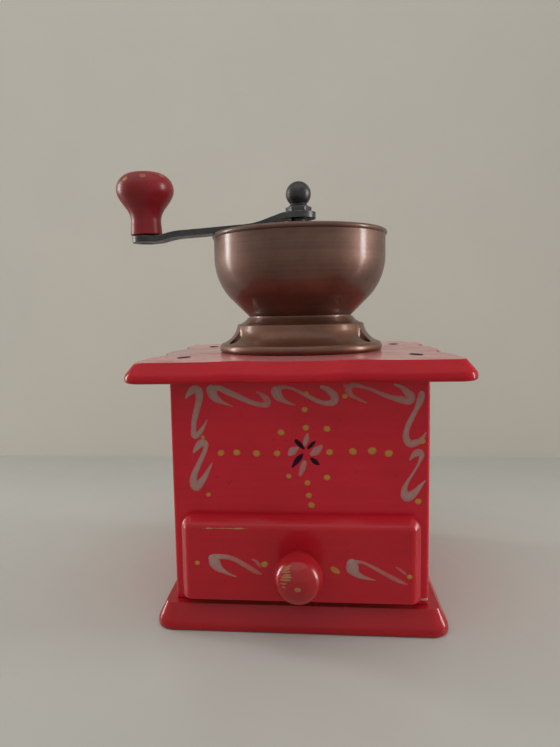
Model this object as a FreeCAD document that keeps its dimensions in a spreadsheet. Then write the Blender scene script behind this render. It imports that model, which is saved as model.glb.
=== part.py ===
"""Hand-cranked box coffee mill: a painted wooden box with a drawer, a copper hopper and a burr set.

The origin is the centre of the underside of the base board, on the spindle axis. +Z is up, the
drawer faces -Y and the crank points along -X at rest. All sizes are in millimetres.
"""
import FreeCAD, Part
import math
import os
from types import SimpleNamespace

import Sketcher

# Driving dimensions, one sheet cell each
SIZES = {
    # base board
    "base_overhang": 10.0,
    "base_height": 13.5,
    "base_corner": 10.0,
    "base_bevel_run": 4.8,
    "base_bevel_drop": 9.0,
    "base_nose": 8.0,
    "base_lip": 1.6,
    # box walls
    "box_width": 136.0,
    "box_depth": 136.0,
    "box_height": 121.0,
    "wall": 8.0,
    "box_edge": 2.0,
    # scalloped top board
    "top_overhang": 20.4,
    "top_thickness": 10.5,
    "top_corner": 10.0,
    "notch_spread": 30.0,
    "notch_radius": 14.0,
    "notch_depth": 5.0,
    "lobe_radius": 40.0,
    "top_bevel_run": 5.6,
    "top_bevel_drop": 6.6,
    "top_nose": 4.6,
    "top_lip": 1.8,
    # dowels between the side walls and the top board
    "dowel_radius": 2.5,
    "dowel_in_wall": 12.0,
    "dowel_in_top": 6.0,
    "dowel_spread": 40.0,
    # drawer
    "drawer_margin": 5.0,
    "drawer_front_lift": 4.6,
    "drawer_front_height": 44.4,
    "drawer_front_thickness": 9.5,
    "drawer_bevel_run": 4.0,
    "drawer_bevel_drop": 5.0,
    "drawer_corner": 6.5,
    "drawer_round": 4.0,
    "drawer_opening_height": 43.0,
    "drawer_body_height": 38.0,
    "drawer_back_gap": 6.3,
    "drawer_board": 6.0,
    "drawer_floor": 3.0,
    "slide_gap": 0.3,
    "drawer_lift": 0.1,
    # drawer knob
    "pull_radius": 12.4,
    "pull_middle": 15.5,
    "pull_foot": 8.2,
    "pull_foot_height": 1.5,
    "pull_neck": 6.6,
    "pull_cap": 3.1,
    "pull_cap_radius": 9.0,
    "pull_screw_depth": 13.8,
    "pull_drop": 2.1,
    # hopper collar
    "collar_height": 20.9,
    "collar_radius": 50.2,
    "collar_bead": 5.2,
    "collar_bead_round": 3.4,
    "collar_foot_inset": 0.9,
    "collar_bead_inset": 1.3,
    "collar_hollow": 14.0,
    "collar_waist": 39.9,
    "collar_step": 16.0,
    "collar_roll": 1.6,
    "collar_roll_drop": 2.5,
    "collar_roll_inset": 0.7,
    "collar_shelf_inset": 2.2,
    "collar_shelf_rise": 1.1,
    "collar_sweep": 8.0,
    "collar_top_radius": 32.6,
    "collar_cavity": 36.5,
    "collar_cavity_slope": 5.0,
    "collar_screw_circle": 43.4,
    "collar_pocket_radius": 4.1,
    "collar_floor": 2.5,
    # hopper bowl
    "bowl_height": 49.5,
    "bowl_radius": 52.4,
    "bowl_curve": 36.0,
    "bowl_wall_start": 36.4,
    "bowl_neck": 31.7,
    "bowl_neck_round": 1.2,
    "bowl_sheet": 1.2,
    "spigot_radius": 29.4,
    "bead_radius": 1.6,
    # fixed burr ring
    "ring_depth": 39.0,
    "ring_radius": 27.0,
    "ring_foot_radius": 24.0,
    "ring_step": 14.0,
    "ring_step_slope": 3.0,
    "flange_radius": 35.0,
    "flange": 3.0,
    "ring_mouth": 22.0,
    "ring_throat": 11.9,
    "ring_throat_drop": 13.0,
    "ring_bore": 17.9,
    "ring_flutes": 16,
    "ring_flute_depth": 3.6,
    "ring_flute_half": 2.2,
    "ring_groove_depth": 1.0,
    "ring_groove_half": 1.6,
    # turning burr
    "burr_gap": 0.8,
    "burr_recess": 1.5,
    "burr_height": 30.0,
    "burr_flutes": 10,
    "burr_flute_depth": 3.6,
    "burr_flute_half": 4.2,
    "burr_groove_depth": 0.6,
    "burr_groove_half": 1.6,
    "burr_teeth": 30,
    "burr_tooth_depth": 1.2,
    "burr_tooth_half": 1.3,
    "burr_tooth_height": 10.0,
    "burr_tooth_end_depth": 0.1,
    "burr_tooth_end_half": 0.8,
    "burr_twist": 28.0,
    # spindle
    "shaft_radius": 4.5,
    "pivot_radius": 3.5,
    "pivot_tail": 1.5,
    "seat_radius": 7.5,
    "seat_height": 2.5,
    "shaft_square": 6.2,
    "shaft_flat": 3.7,
    "stud_radius": 2.9,
    "stud_length": 9.5,
    # bearing straps
    "strap": 2.5,
    "strap_width": 14.0,
    "bridge_height": 50.0,
    "bridge_leg": 23.2,
    "bridge_bend": 5.0,
    "tenon_width": 7.0,
    "low_strap_width": 12.0,
    "low_strap_drop": 12.0,
    "low_strap_leg": 16.0,
    # setting nut and its washer
    "washer_radius": 9.0,
    "washer": 1.2,
    "nut_radius": 12.5,
    "nut_height": 6.5,
    "nut_notches": 12,
    "nut_notch_radius": 2.0,
    "nut_notch_depth": 1.3,
    "lift": 1.0,
    # crank
    "crank_radius": 96.0,
    "arm": 3.8,
    "arm_width": 13.5,
    "arm_bend": 14.0,
    "arm_sweep": 45.0,
    "eye_bend": 20.0,
    "hub_rise": 8.6,
    "hub_radius": 10.5,
    "hub_flat": 9.0,
    "arm_dip": 6.2,
    "arm_dip_run": 18.0,
    "arm_fall": 2.8,
    "eye_radius": 9.0,
    "eye_drop": 11.4,
    "eye_flat": 8.5,
    "eye_bend_run": 10.0,
    # ball nut
    "ball_radius": 7.7,
    "ball_rise": 11.2,
    "ball_neck": 4.9,
    "ball_hex": 14.0,
    "ball_hex_height": 3.4,
    "ball_hex_chamfer": 0.4,
    "ball_shoulder": 1.7,
    # handle knob and its pin
    "pin_radius": 3.0,
    "pin_head_radius": 5.0,
    "pin_head": 2.0,
    "pin_rivet_radius": 4.4,
    "pin_rivet": 0.9,
    "rivet_recess": 1.2,
    "knob_washer_radius": 6.0,
    "knob_washer": 0.5,
    "knob_gap": 0.3,
    "knob_height": 38.2,
    "knob_foot": 9.85,
    "knob_foot_edge": 0.4,
    "knob_foot_rise": 0.6,
    "knob_neck": 9.3,
    "knob_neck_height": 9.0,
    "knob_waist": 15.0,
    "knob_swell": 12.6,
    "knob_swell_height": 17.2,
    "knob_flare": 40.0,
    "knob_cheek": 16.9,
    "knob_cheek_height": 23.6,
    "knob_bulge": 9.2,
    "knob_brow": 17.3,
    "knob_brow_height": 31.2,
    "knob_shoulder": 10.8,
    "knob_crown_radius": 11.6,
    "knob_crown_drop": 1.05,
    "knob_crown": 18.0,
    "knob_lip_drop": 0.15,
    "knob_recess": 3.2,
    # screws
    "wood_screw_shank": 1.7,
    "wood_screw_head": 3.5,
    "wood_screw_head_height": 2.2,
    "collar_screw_length": 11.0,
    "burr_screw_circle": 31.2,
    "burr_screw_length": 9.0,
    "base_screw_length": 27.0,
    "base_screw_spread": 44.0,
    "strap_screw_shank": 1.4,
    "strap_screw_head": 2.6,
    "strap_screw_head_height": 1.8,
    "strap_screw_length": 8.0,
    "screw_slot": 0.9,
    "screw_slot_depth": 0.8,
    # clearances
    "fit": 0.05,
    "running_gap": 0.1,
    "bore_gap": 0.5,
}

COS_45 = 0.70711
TAN_22 = 0.41421
HEX_CORNER = 1.1547
CIRCLE = 360.0
LEFT = 1
RIGHT = -1

# A cutting sketch runs past the face that it cuts by this much
PAST = 1.0

COLLAR_SCREW_ANGLES = (-150, -30, 90)
BURR_SCREW_ANGLES = (90, 210, 330)


class Term:
    """A size that carries its number and the sheet formula behind it."""

    def __init__(self, value, text):
        self.value = value
        self.text = text

    def combine(self, sign, other, value):
        return Term(value, f"({self.text} {sign} {other.text})")

    def __add__(self, other):
        other = term(other)
        return self.combine("+", other, self.value + other.value)

    def __sub__(self, other):
        other = term(other)
        return self.combine("-", other, self.value - other.value)

    def __mul__(self, other):
        other = term(other)
        return self.combine("*", other, self.value * other.value)

    def __truediv__(self, other):
        other = term(other)
        return self.combine("/", other, self.value / other.value)

    def __radd__(self, other):
        return term(other) + self

    def __rsub__(self, other):
        return term(other) - self

    def __neg__(self):
        return term(0) - self


def term(size):
    """Wrap a plain number as a size."""
    if isinstance(size, Term):
        return size
    return Term(float(size), repr(float(size)))


def cap_radius(reach, rise):
    """Radius of a shallow dome centred on the axis, from its edge radius and its height."""
    return (reach * reach + rise * rise) / (rise * 2)


def root(size):
    """The square root of a size."""
    return Term(math.sqrt(size.value), f"sqrt({size.text})")


S = SimpleNamespace(**{name: Term(float(value), f"Sizes.{name}") for name, value in SIZES.items()})
ZERO = term(0)

# Levels above the underside of the base board
BASE_TOP = S.base_height
BOX_TOP = BASE_TOP + S.box_height
TOP = BOX_TOP + S.top_thickness
FLANGE_TOP = TOP + S.flange
RING_FOOT = TOP - S.ring_depth
BRIDGE_TOP = FLANGE_TOP + S.bridge_height
SEAM = TOP + S.collar_height
RIM_TOP = SEAM + S.bowl_height + S.bead_radius
HUB = RIM_TOP + S.hub_rise
HUB_TOP = HUB + S.arm
EYE = HUB - S.eye_drop
EYE_TOP = EYE + S.arm
KNOB_FOOT = EYE_TOP + S.knob_washer + S.knob_gap

# Plan sizes shared by several pieces
HALF_WIDTH = S.box_width / 2
HALF_DEPTH = S.box_depth / 2
INNER_WIDTH = S.box_width - S.wall * 2
DRAWER_BODY_WIDTH = INNER_WIDTH - S.slide_gap * 2
DRAWER_FRONT_WIDTH = S.box_width - S.drawer_margin * 2
DRAWER_FACE = HALF_DEPTH + S.slide_gap
DRAWER_LENGTH = DRAWER_FACE + HALF_DEPTH - S.wall - S.drawer_back_gap
DRAWER_FRONT_MIDDLE = BASE_TOP + S.drawer_front_lift + S.drawer_front_height / 2
PULL_HEIGHT = DRAWER_FRONT_MIDDLE - S.pull_drop
DRAWER_FOOT = BASE_TOP + S.drawer_lift
RING_TAPER = (S.ring_bore - S.ring_throat) / (S.ring_depth - S.ring_throat_drop)
SUNK_HEAD = S.wood_screw_head - S.wood_screw_shank
STRAP_SCREW_AT = (S.low_strap_leg + S.strap + S.ring_foot_radius) / 2

doc = FreeCAD.newDocument("coffee_mill")
pieces = []


def bind(target, path, size):
    """Tie one property of an object to a size."""
    target.setExpression(path, term(size).text)


def make_sheet():
    """Write every driving dimension into the spreadsheet."""
    sheet = doc.addObject("Spreadsheet::Sheet", "Sizes")
    for row, (name, value) in enumerate(SIZES.items(), start=1):
        sheet.set(f"A{row}", name)
        sheet.set(f"B{row}", str(value))
        sheet.setAlias(f"B{row}", name)
    doc.recompute()


def finish(piece, label, x=ZERO, y=ZERO, z=ZERO):
    """Name a finished piece, set it in its place and put it on the list to be written."""
    piece.Label = label
    for axis, size in zip("xyz", (x, y, z)):
        if term(size).value:
            bind(piece, f"Placement.Base.{axis}", size)
    pieces.append(piece)
    return piece


def new_body(name):
    """An empty body."""
    return doc.addObject("PartDesign::Body", name + "_body")


def sketch_on(body, plane, lift=None, turn=None):
    """A sketch on one of the body's own origin planes, lifted along its normal and turned."""
    sketch = body.newObject("Sketcher::SketchObject", "Sketch")
    support = next(f for f in body.Origin.OriginFeatures if f.Role == plane)
    sketch.AttachmentSupport = [(support, "")]
    sketch.MapMode = "FlatFace"
    if turn is not None:
        sketch.AttachmentOffset = FreeCAD.Placement(
            FreeCAD.Vector(), FreeCAD.Rotation(FreeCAD.Vector(0, 0, 1), turn.value)
        )
        bind(sketch, "AttachmentOffset.Rotation.Angle", turn)
    if lift is not None:
        bind(sketch, "AttachmentOffset.Base.z", lift)
    return sketch


def set_point(sketch, shape, end, x, y):
    """Hold one end of a line or arc, or a circle's centre, at a place from the sketch origin."""
    for kind, axis, size in (("DistanceX", -2, term(x)), ("DistanceY", -1, term(y))):
        if size.value == 0:
            sketch.addConstraint(Sketcher.Constraint("PointOnObject", shape, end, axis))
        else:
            index = sketch.addConstraint(Sketcher.Constraint(kind, -1, 1, shape, end, size.value))
            bind(sketch, f"Constraints[{index}]", size)


def set_radius(sketch, shape, radius):
    """Hold the radius of an arc or circle."""
    index = sketch.addConstraint(Sketcher.Constraint("Radius", shape, radius.value))
    bind(sketch, f"Constraints[{index}]", radius)


def circle(sketch, x, y, radius):
    """A full circle."""
    x, y = term(x), term(y)
    centre = FreeCAD.Vector(x.value, y.value, 0)
    shape = sketch.addGeometry(Part.Circle(centre, FreeCAD.Vector(0, 0, 1), radius.value))
    set_point(sketch, shape, 3, x, y)
    set_radius(sketch, shape, radius)


def add_side(sketch, start, end, bend):
    """One side of an outline, straight or bent; gives its number and its two end marks."""
    p = FreeCAD.Vector(start[0].value, start[1].value, 0)
    q = FreeCAD.Vector(end[0].value, end[1].value, 0)
    if bend is None:
        return sketch.addGeometry(Part.LineSegment(p, q)), 1, 2
    radius, side = bend
    chord = q - p
    reach = math.sqrt(radius.value ** 2 - (chord.Length / 2) ** 2)
    normal = FreeCAD.Vector(-chord.y, chord.x, 0) / chord.Length
    centre = (p + q) / 2 + normal * (reach * side)
    ring = Part.Circle(centre, FreeCAD.Vector(0, 0, 1), radius.value)
    first, last = (p, q) if side == LEFT else (q, p)
    from_angle = math.atan2(first.y - centre.y, first.x - centre.x)
    to_angle = math.atan2(last.y - centre.y, last.x - centre.x)
    if to_angle < from_angle:
        to_angle += 2 * math.pi
    shape = sketch.addGeometry(Part.ArcOfCircle(ring, from_angle, to_angle))
    set_radius(sketch, shape, radius)
    return (shape, 1, 2) if side == LEFT else (shape, 2, 1)


def outline(sketch, *corners):
    """A closed outline. A corner is (x, y), or (x, y, radius, side) where an arc leaves it."""
    spots = [(term(corner[0]), term(corner[1])) for corner in corners]
    bends = [corner[2:] or None for corner in corners]
    sides = []
    for index, spot in enumerate(spots):
        after = spots[(index + 1) % len(spots)]
        sides.append(add_side(sketch, spot, after, bends[index]))
    for index, (shape, start, _) in enumerate(sides):
        before, _, end = sides[index - 1]
        sketch.addConstraint(Sketcher.Constraint("Coincident", before, end, shape, start))
        set_point(sketch, shape, start, *spots[index])


def rectangle(sketch, half_width, low, high):
    """A rectangle centred on the vertical axis of the sketch."""
    outline(sketch, (-half_width, low), (half_width, low), (half_width, high), (-half_width, high))


def square(sketch, half_x, half_y):
    """A rectangle centred on the sketch origin."""
    rectangle(sketch, half_x, -half_y, half_y)


def pad(body, sketch, length, middle=False):
    """Grow a sketch along its normal, or evenly to both sides."""
    feature = body.newObject("PartDesign::Pad", "Pad")
    feature.Profile = sketch
    if middle:
        feature.SideType = "Symmetric"
    bind(feature, "Length", length)
    return feature


def revolve(body, sketch):
    """Turn a sketch about its vertical axis."""
    feature = body.newObject("PartDesign::Revolution", "Revolution")
    feature.Profile = sketch
    feature.ReferenceAxis = (sketch, ["V_Axis"])
    feature.Angle = CIRCLE
    return feature


def cut_through(body, sketch):
    """Cut a sketch right through the body, both ways."""
    feature = body.newObject("PartDesign::Pocket", "Pocket")
    feature.Profile = sketch
    feature.SideType = "Symmetric"
    feature.Type = "ThroughAll"
    return feature


def cut_deep(body, sketch, depth, up=False):
    """Cut a sketch to a depth below its plane, or above it."""
    feature = body.newObject("PartDesign::Pocket", "Pocket")
    feature.Profile = sketch
    feature.Reversed = up
    bind(feature, "Length", depth)
    return feature


def cut_between(body, low, high):
    """Cut a tapering groove from one sketch to another."""
    feature = body.newObject("PartDesign::SubtractiveLoft", "Groove")
    feature.Profile = low
    feature.Sections = [high]
    feature.Ruled = True
    return feature


def repeat_round(body, feature, sketch, count):
    """Repeat a feature about the axis of its sketch."""
    pattern = body.newObject("PartDesign::PolarPattern", "Pattern")
    pattern.Originals = [feature]
    pattern.Axis = (sketch, ["N_Axis"])
    pattern.Angle = CIRCLE
    bind(pattern, "Occurrences", count)
    body.Tip = pattern
    return pattern


def edge_names(body, wanted):
    """Names of the edges of the body so far that pass a test."""
    doc.recompute()
    edges = body.Tip.Shape.Edges
    return [f"Edge{index}" for index, edge in enumerate(edges, start=1) if wanted(edge)]


def round_edges(body, wanted, radius):
    """Round the edges that pass a test."""
    names = edge_names(body, wanted)
    before = body.Tip
    feature = body.newObject("PartDesign::Fillet", "Fillet")
    feature.Base = (before, names)
    bind(feature, "Radius", radius)
    body.Tip = feature
    return feature


def bevel_edges(body, wanted, run, drop):
    """Bevel the edges that pass a test by two distances."""
    names = edge_names(body, wanted)
    before = body.Tip
    feature = body.newObject("PartDesign::Chamfer", "Chamfer")
    feature.Base = (before, names)
    feature.ChamferType = "Two distances"
    bind(feature, "Size", run)
    bind(feature, "Size2", drop)
    body.Tip = feature
    return feature


def countersink(body, height):
    """Open the wood screw holes at one height into cones for sunk heads."""
    hole = 2 * math.pi * (S.wood_screw_shank.value + 0.5)
    bevel_edges(
        body,
        lambda edge: level(edge, height) and edge.isClosed() and edge.Length < hole,
        SUNK_HEAD,
        SUNK_HEAD,
    )


def upright(edge):
    """True for a straight vertical edge."""
    return edge.BoundBox.ZLength > 0.1 and edge.BoundBox.XLength + edge.BoundBox.YLength < 1e-4


def level(edge, height):
    """True for an edge that lies at one height."""
    return edge.BoundBox.ZLength < 1e-4 and abs(edge.BoundBox.ZMin - height.value) < 1e-3


def turned(name, *corners):
    """A body of revolution from a half profile of (radius, height) corners."""
    body = new_body(name)
    profile = sketch_on(body, "XZ_Plane")
    outline(profile, *corners)
    revolve(body, profile)
    return body


def board(name, length, width, height):
    """A plain board centred on its own origin in plan."""
    box = doc.addObject("Part::Box", name + "_board")
    bind(box, "Length", length)
    bind(box, "Width", width)
    bind(box, "Height", height)
    bind(box, "Placement.Base.x", -length / 2)
    bind(box, "Placement.Base.y", -width / 2)
    return box


def rod(name, radius, height, x=ZERO, y=ZERO, z=ZERO):
    """An upright cylinder."""
    cylinder = doc.addObject("Part::Cylinder", name)
    bind(cylinder, "Radius", radius)
    bind(cylinder, "Height", height)
    for axis, size in zip("xyz", (x, y, z)):
        bind(cylinder, f"Placement.Base.{axis}", size)
    return cylinder


def group(name, members):
    """Separate solids that share one node."""
    compound = doc.addObject("Part::Compound", name)
    compound.Links = members
    return compound


def cut(base, tools):
    """A piece less a group of tools."""
    result = doc.addObject("Part::Cut", "Cut")
    result.Base = base
    result.Tool = tools[0] if len(tools) == 1 else group("Tools", tools)
    return result


def fuse(base, tool):
    """Two shapes made one."""
    result = doc.addObject("Part::Fuse", "Fuse")
    result.Base = base
    result.Tool = tool
    return result


def ring_places(circle_radius, angles):
    """Places on a circle round the axis."""
    places = []
    for angle in angles:
        turn = math.radians(angle)
        places.append((circle_radius * round(math.cos(turn), 6), circle_radius * round(math.sin(turn), 6)))
    return places


def screw(head, head_height, shank, length, x, y, seat, flip, sunk):
    """One slotted screw, its head above the seat or sunk below it, upright or upside down."""
    shank_low = seat if flip else seat - length
    if sunk:
        face = seat
        head_low = seat if flip else seat - head_height
        top = doc.addObject("Part::Cone", "Head")
        bind(top, "Radius1", head if flip else shank)
        bind(top, "Radius2", shank if flip else head)
        bind(top, "Height", head_height)
        for axis, size in zip("xyz", (x, y, head_low)):
            bind(top, f"Placement.Base.{axis}", size)
    else:
        face = seat - head_height if flip else seat + head_height
        head_low = face if flip else seat
        top = rod("Head", head, head_height, x, y, head_low)
    whole = fuse(top, rod("Shank", shank, length, x, y, shank_low))
    slot = doc.addObject("Part::Box", "Slot")
    bind(slot, "Length", head * 2)
    bind(slot, "Width", S.screw_slot)
    bind(slot, "Height", S.screw_slot_depth)
    bind(slot, "Placement.Base.x", x - head)
    bind(slot, "Placement.Base.y", y - S.screw_slot / 2)
    bind(slot, "Placement.Base.z", face if flip else face - S.screw_slot_depth)
    return cut(whole, [slot])


def make_base_board():
    """The moulded plinth, with countersunk holes for the screws that hold the side walls."""
    body = new_body("base")
    half_x = HALF_WIDTH + S.base_overhang
    half_y = HALF_DEPTH + S.base_overhang
    plan = sketch_on(body, "XY_Plane")
    square(plan, half_x, half_y)
    pad(body, plan, S.base_height)
    round_edges(body, upright, S.base_corner)
    bevel_edges(body, lambda edge: level(edge, S.base_height), S.base_bevel_drop, S.base_bevel_run)
    nose = S.base_height - S.base_bevel_drop
    round_edges(body, lambda edge: level(edge, nose), S.base_nose)
    round_edges(body, lambda edge: level(edge, ZERO), S.base_lip)
    holes = sketch_on(body, "XY_Plane")
    for x, y in base_screw_places():
        circle(holes, x, y, S.wood_screw_shank + S.fit)
    cut_through(body, holes)
    countersink(body, ZERO)
    finish(body, "base_board")


def base_screw_places():
    """Where the base screws stand, under the middle of the side walls."""
    x = HALF_WIDTH - S.wall / 2
    return [(side, end) for side in (-x, x) for end in (-S.base_screw_spread, S.base_screw_spread)]


def dowel_places():
    """Where the dowels stand, in the middle of the side walls."""
    x = HALF_WIDTH - S.wall / 2
    return [(side, end) for side in (-x, x) for end in (-S.dowel_spread, S.dowel_spread)]


def make_base_screws():
    """Four wood screws up through the base board into the side walls."""
    screws = [
        screw(S.wood_screw_head, SUNK_HEAD, S.wood_screw_shank, S.base_screw_length, x, y, ZERO, True, True)
        for x, y in base_screw_places()
    ]
    finish(group("base_screw_group", screws), "base_screws")


def make_side_wall(label, side):
    """A plain side board between the front panel and the back wall."""
    wall = board(label, S.wall, S.box_depth - S.wall * 2, S.box_height)
    wall.setExpression("Placement.Base.x", ((HALF_WIDTH - S.wall / 2) * side - S.wall / 2).text)
    wall.setExpression("Placement.Base.z", BASE_TOP.text)
    tools = []
    for x, y in base_screw_places():
        if x.value * side > 0:
            depth = S.base_screw_length - S.base_height + S.fit
            tools.append(rod("Pilot", S.wood_screw_shank + S.fit, depth, x, y, BASE_TOP))
    for x, y in dowel_places():
        if x.value * side > 0:
            low = BOX_TOP - S.dowel_in_wall
            tools.append(rod("DowelHole", S.dowel_radius + S.fit, S.dowel_in_wall, x, y, low))
    finish(cut(wall, tools), label)


def make_back_wall():
    """The full-width back board with rounded outer corners."""
    body = new_body("back_wall")
    plan = sketch_on(body, "XY_Plane")
    rectangle(plan, HALF_WIDTH, HALF_DEPTH - S.wall, HALF_DEPTH)
    pad(body, plan, S.box_height)
    round_edges(body, lambda edge: upright(edge) and edge.BoundBox.YMax > HALF_DEPTH.value - 0.1, S.box_edge)
    finish(body, "back_wall", z=BASE_TOP)


def make_front_panel():
    """The full-width front board with rounded outer corners and the drawer opening at its foot."""
    body = new_body("front_panel")
    plan = sketch_on(body, "XY_Plane")
    rectangle(plan, HALF_WIDTH, -HALF_DEPTH, S.wall - HALF_DEPTH)
    pad(body, plan, S.box_height)
    round_edges(body, lambda edge: upright(edge) and edge.BoundBox.YMin < 0.1 - HALF_DEPTH.value, S.box_edge)
    opening = sketch_on(body, "XZ_Plane")
    rectangle(opening, INNER_WIDTH / 2, ZERO, S.drawer_opening_height)
    cut_through(body, opening)
    finish(body, "front_panel", z=BASE_TOP)


def make_top_board():
    """The scalloped, bevelled top board with the burr bore and the pilot holes of its fittings."""
    body = new_body("top_board")
    half_x = HALF_WIDTH + S.top_overhang
    half_y = HALF_DEPTH + S.top_overhang
    plan = sketch_on(body, "XY_Plane")
    square(plan, half_x, half_y)
    pad(body, plan, S.top_thickness)
    round_edges(body, upright, S.top_corner)
    notches = sketch_on(body, "XY_Plane")
    inset = S.notch_radius - S.notch_depth
    for along in (-S.notch_spread, S.notch_spread):
        for way in (-1, 1):
            circle(notches, along, (half_y + inset) * way, S.notch_radius)
            circle(notches, (half_x + inset) * way, along, S.notch_radius)
    cut_through(body, notches)
    body.Tip = body.Group[-1]
    reach = min(half_x.value, half_y.value) - 0.01
    round_edges(
        body,
        lambda edge: upright(edge)
        and max(abs(edge.BoundBox.XMax + edge.BoundBox.XMin), abs(edge.BoundBox.YMax + edge.BoundBox.YMin))
        > 2 * reach
        and min(abs(edge.BoundBox.XMax), abs(edge.BoundBox.YMax)) < reach - S.top_corner.value - 0.1,
        S.lobe_radius,
    )
    bevel_edges(body, lambda edge: level(edge, S.top_thickness), S.top_bevel_drop, S.top_bevel_run)
    nose = S.top_thickness - S.top_bevel_drop
    round_edges(body, lambda edge: level(edge, nose), S.top_nose)
    round_edges(body, lambda edge: level(edge, ZERO), S.top_lip)
    bore = sketch_on(body, "XY_Plane")
    circle(bore, ZERO, ZERO, S.ring_radius + S.bore_gap)
    cut_through(body, bore)
    cut_pilots(body, S.collar_screw_circle, COLLAR_SCREW_ANGLES, S.collar_screw_length - S.collar_floor)
    cut_pilots(body, S.burr_screw_circle, BURR_SCREW_ANGLES, S.burr_screw_length - S.flange)
    dowels = sketch_on(body, "XY_Plane")
    for x, y in dowel_places():
        circle(dowels, x, y, S.dowel_radius + S.fit)
    cut_deep(body, dowels, S.dowel_in_top, up=True)
    finish(body, "top_board", z=BOX_TOP)


def cut_pilots(body, circle_radius, angles, depth):
    """Blind screw holes from the top face of the top board."""
    holes = sketch_on(body, "XY_Plane", lift=S.top_thickness)
    for x, y in ring_places(circle_radius, angles):
        circle(holes, x, y, S.wood_screw_shank + S.fit)
    cut_deep(body, holes, depth + S.fit)


def make_dowels():
    """Four dowels that hold the top board on the side walls."""
    length = S.dowel_in_wall + S.dowel_in_top
    low = BOX_TOP - S.dowel_in_wall
    rods = [rod("Dowel", S.dowel_radius, length, x, y, low) for x, y in dowel_places()]
    finish(group("dowel_group", rods), "top_dowels")


def lies_forward(edge, reach):
    """True for an edge in the upright plane at one distance in front of the sketch plane."""
    box = edge.BoundBox
    return abs(box.YMin + reach.value) < 0.01 and abs(box.YMax + reach.value) < 0.01


def make_drawer():
    """The drawer: a front rounded over at the top and sides, and a plain tray of four boards behind it."""
    body = new_body("drawer_front")
    face = sketch_on(body, "XZ_Plane")
    half_height = S.drawer_front_height / 2
    square(face, DRAWER_FRONT_WIDTH / 2, half_height)
    pad(body, face, S.drawer_front_thickness)
    foot = 0.01 - half_height.value
    round_edges(body, lambda edge: along_y(edge) and edge.BoundBox.ZMin > foot, S.drawer_corner)
    front = S.drawer_front_thickness
    bevel_edges(
        body,
        lambda edge: lies_forward(edge, front) and edge.BoundBox.ZMax > foot,
        S.drawer_bevel_drop,
        S.drawer_bevel_run,
    )
    back = front - S.drawer_bevel_drop
    round_edges(body, lambda edge: lies_forward(edge, front) and edge.BoundBox.ZMax > foot, S.drawer_round)
    round_edges(body, lambda edge: lies_forward(edge, back) and edge.BoundBox.ZMax > foot, S.drawer_round)
    hole = sketch_on(body, "XZ_Plane")
    circle(hole, ZERO, -S.pull_drop, S.wood_screw_shank + S.fit)
    cut_through(body, hole)
    finish(body, "drawer_front", y=-DRAWER_FACE, z=DRAWER_FRONT_MIDDLE)

    side_at = (DRAWER_BODY_WIDTH - S.drawer_board) / 2
    for label, way in (("drawer_left_side", -1), ("drawer_right_side", 1)):
        place_board(label, S.drawer_board, DRAWER_LENGTH, S.drawer_body_height,
                    side_at * way, DRAWER_LENGTH / 2 - DRAWER_FACE, DRAWER_FOOT)
    between = DRAWER_BODY_WIDTH - S.drawer_board * 2
    place_board("drawer_back", between, S.drawer_board, S.drawer_body_height,
                ZERO, DRAWER_LENGTH - S.drawer_board / 2 - DRAWER_FACE, DRAWER_FOOT)
    floor_length = DRAWER_LENGTH - S.drawer_board
    place_board("drawer_floor_board", between, floor_length, S.drawer_floor,
                ZERO, floor_length / 2 - DRAWER_FACE, DRAWER_FOOT)


def place_board(label, length, width, height, x, y, z):
    """A plain board centred in plan on a place and standing at a height."""
    piece = board(label, length, width, height)
    piece.setExpression("Placement.Base.x", (x - length / 2).text)
    piece.setExpression("Placement.Base.y", (y - width / 2).text)
    piece.setExpression("Placement.Base.z", z.text)
    finish(piece, label)


def face_forward(piece):
    """Lay a turned piece down so that its axis points to the front."""
    piece.Placement = FreeCAD.Placement(
        FreeCAD.Vector(), FreeCAD.Rotation(FreeCAD.Vector(1, 0, 0), CIRCLE / 4)
    )


def make_drawer_knob():
    """The turned ball pull, slightly flat in front, and the screw that holds it from inside the drawer."""
    bore = S.wood_screw_shank + S.fit
    neck_height = S.pull_middle - root(S.pull_radius * S.pull_radius - S.pull_neck * S.pull_neck)
    cap_foot = S.pull_middle + root(S.pull_radius * S.pull_radius - S.pull_cap_radius * S.pull_cap_radius)
    pull = turned(
        "drawer_knob",
        (bore, ZERO),
        (S.pull_foot, ZERO),
        (S.pull_foot, S.pull_foot_height),
        (S.pull_neck, neck_height, S.pull_radius, LEFT),
        (S.pull_radius, S.pull_middle, S.pull_radius, LEFT),
        (S.pull_cap_radius, cap_foot, cap_radius(S.pull_cap_radius, S.pull_cap), LEFT),
        (ZERO, cap_foot + S.pull_cap),
        (ZERO, S.pull_screw_depth),
        (bore, S.pull_screw_depth),
    )
    face_forward(pull)
    finish(pull, "drawer_knob", y=-(DRAWER_FACE + S.drawer_front_thickness), z=PULL_HEIGHT)

    shank_length = S.drawer_front_thickness + S.pull_screw_depth - S.fit
    body = turned(
        "drawer_knob_screw",
        (ZERO, -S.wood_screw_head_height),
        (S.wood_screw_head, -S.wood_screw_head_height),
        (S.wood_screw_head, ZERO),
        (S.wood_screw_shank, ZERO),
        (S.wood_screw_shank, shank_length),
        (ZERO, shank_length),
    )
    face_forward(body)
    finish(body, "drawer_knob_screw", y=-DRAWER_FACE, z=PULL_HEIGHT)


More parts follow.
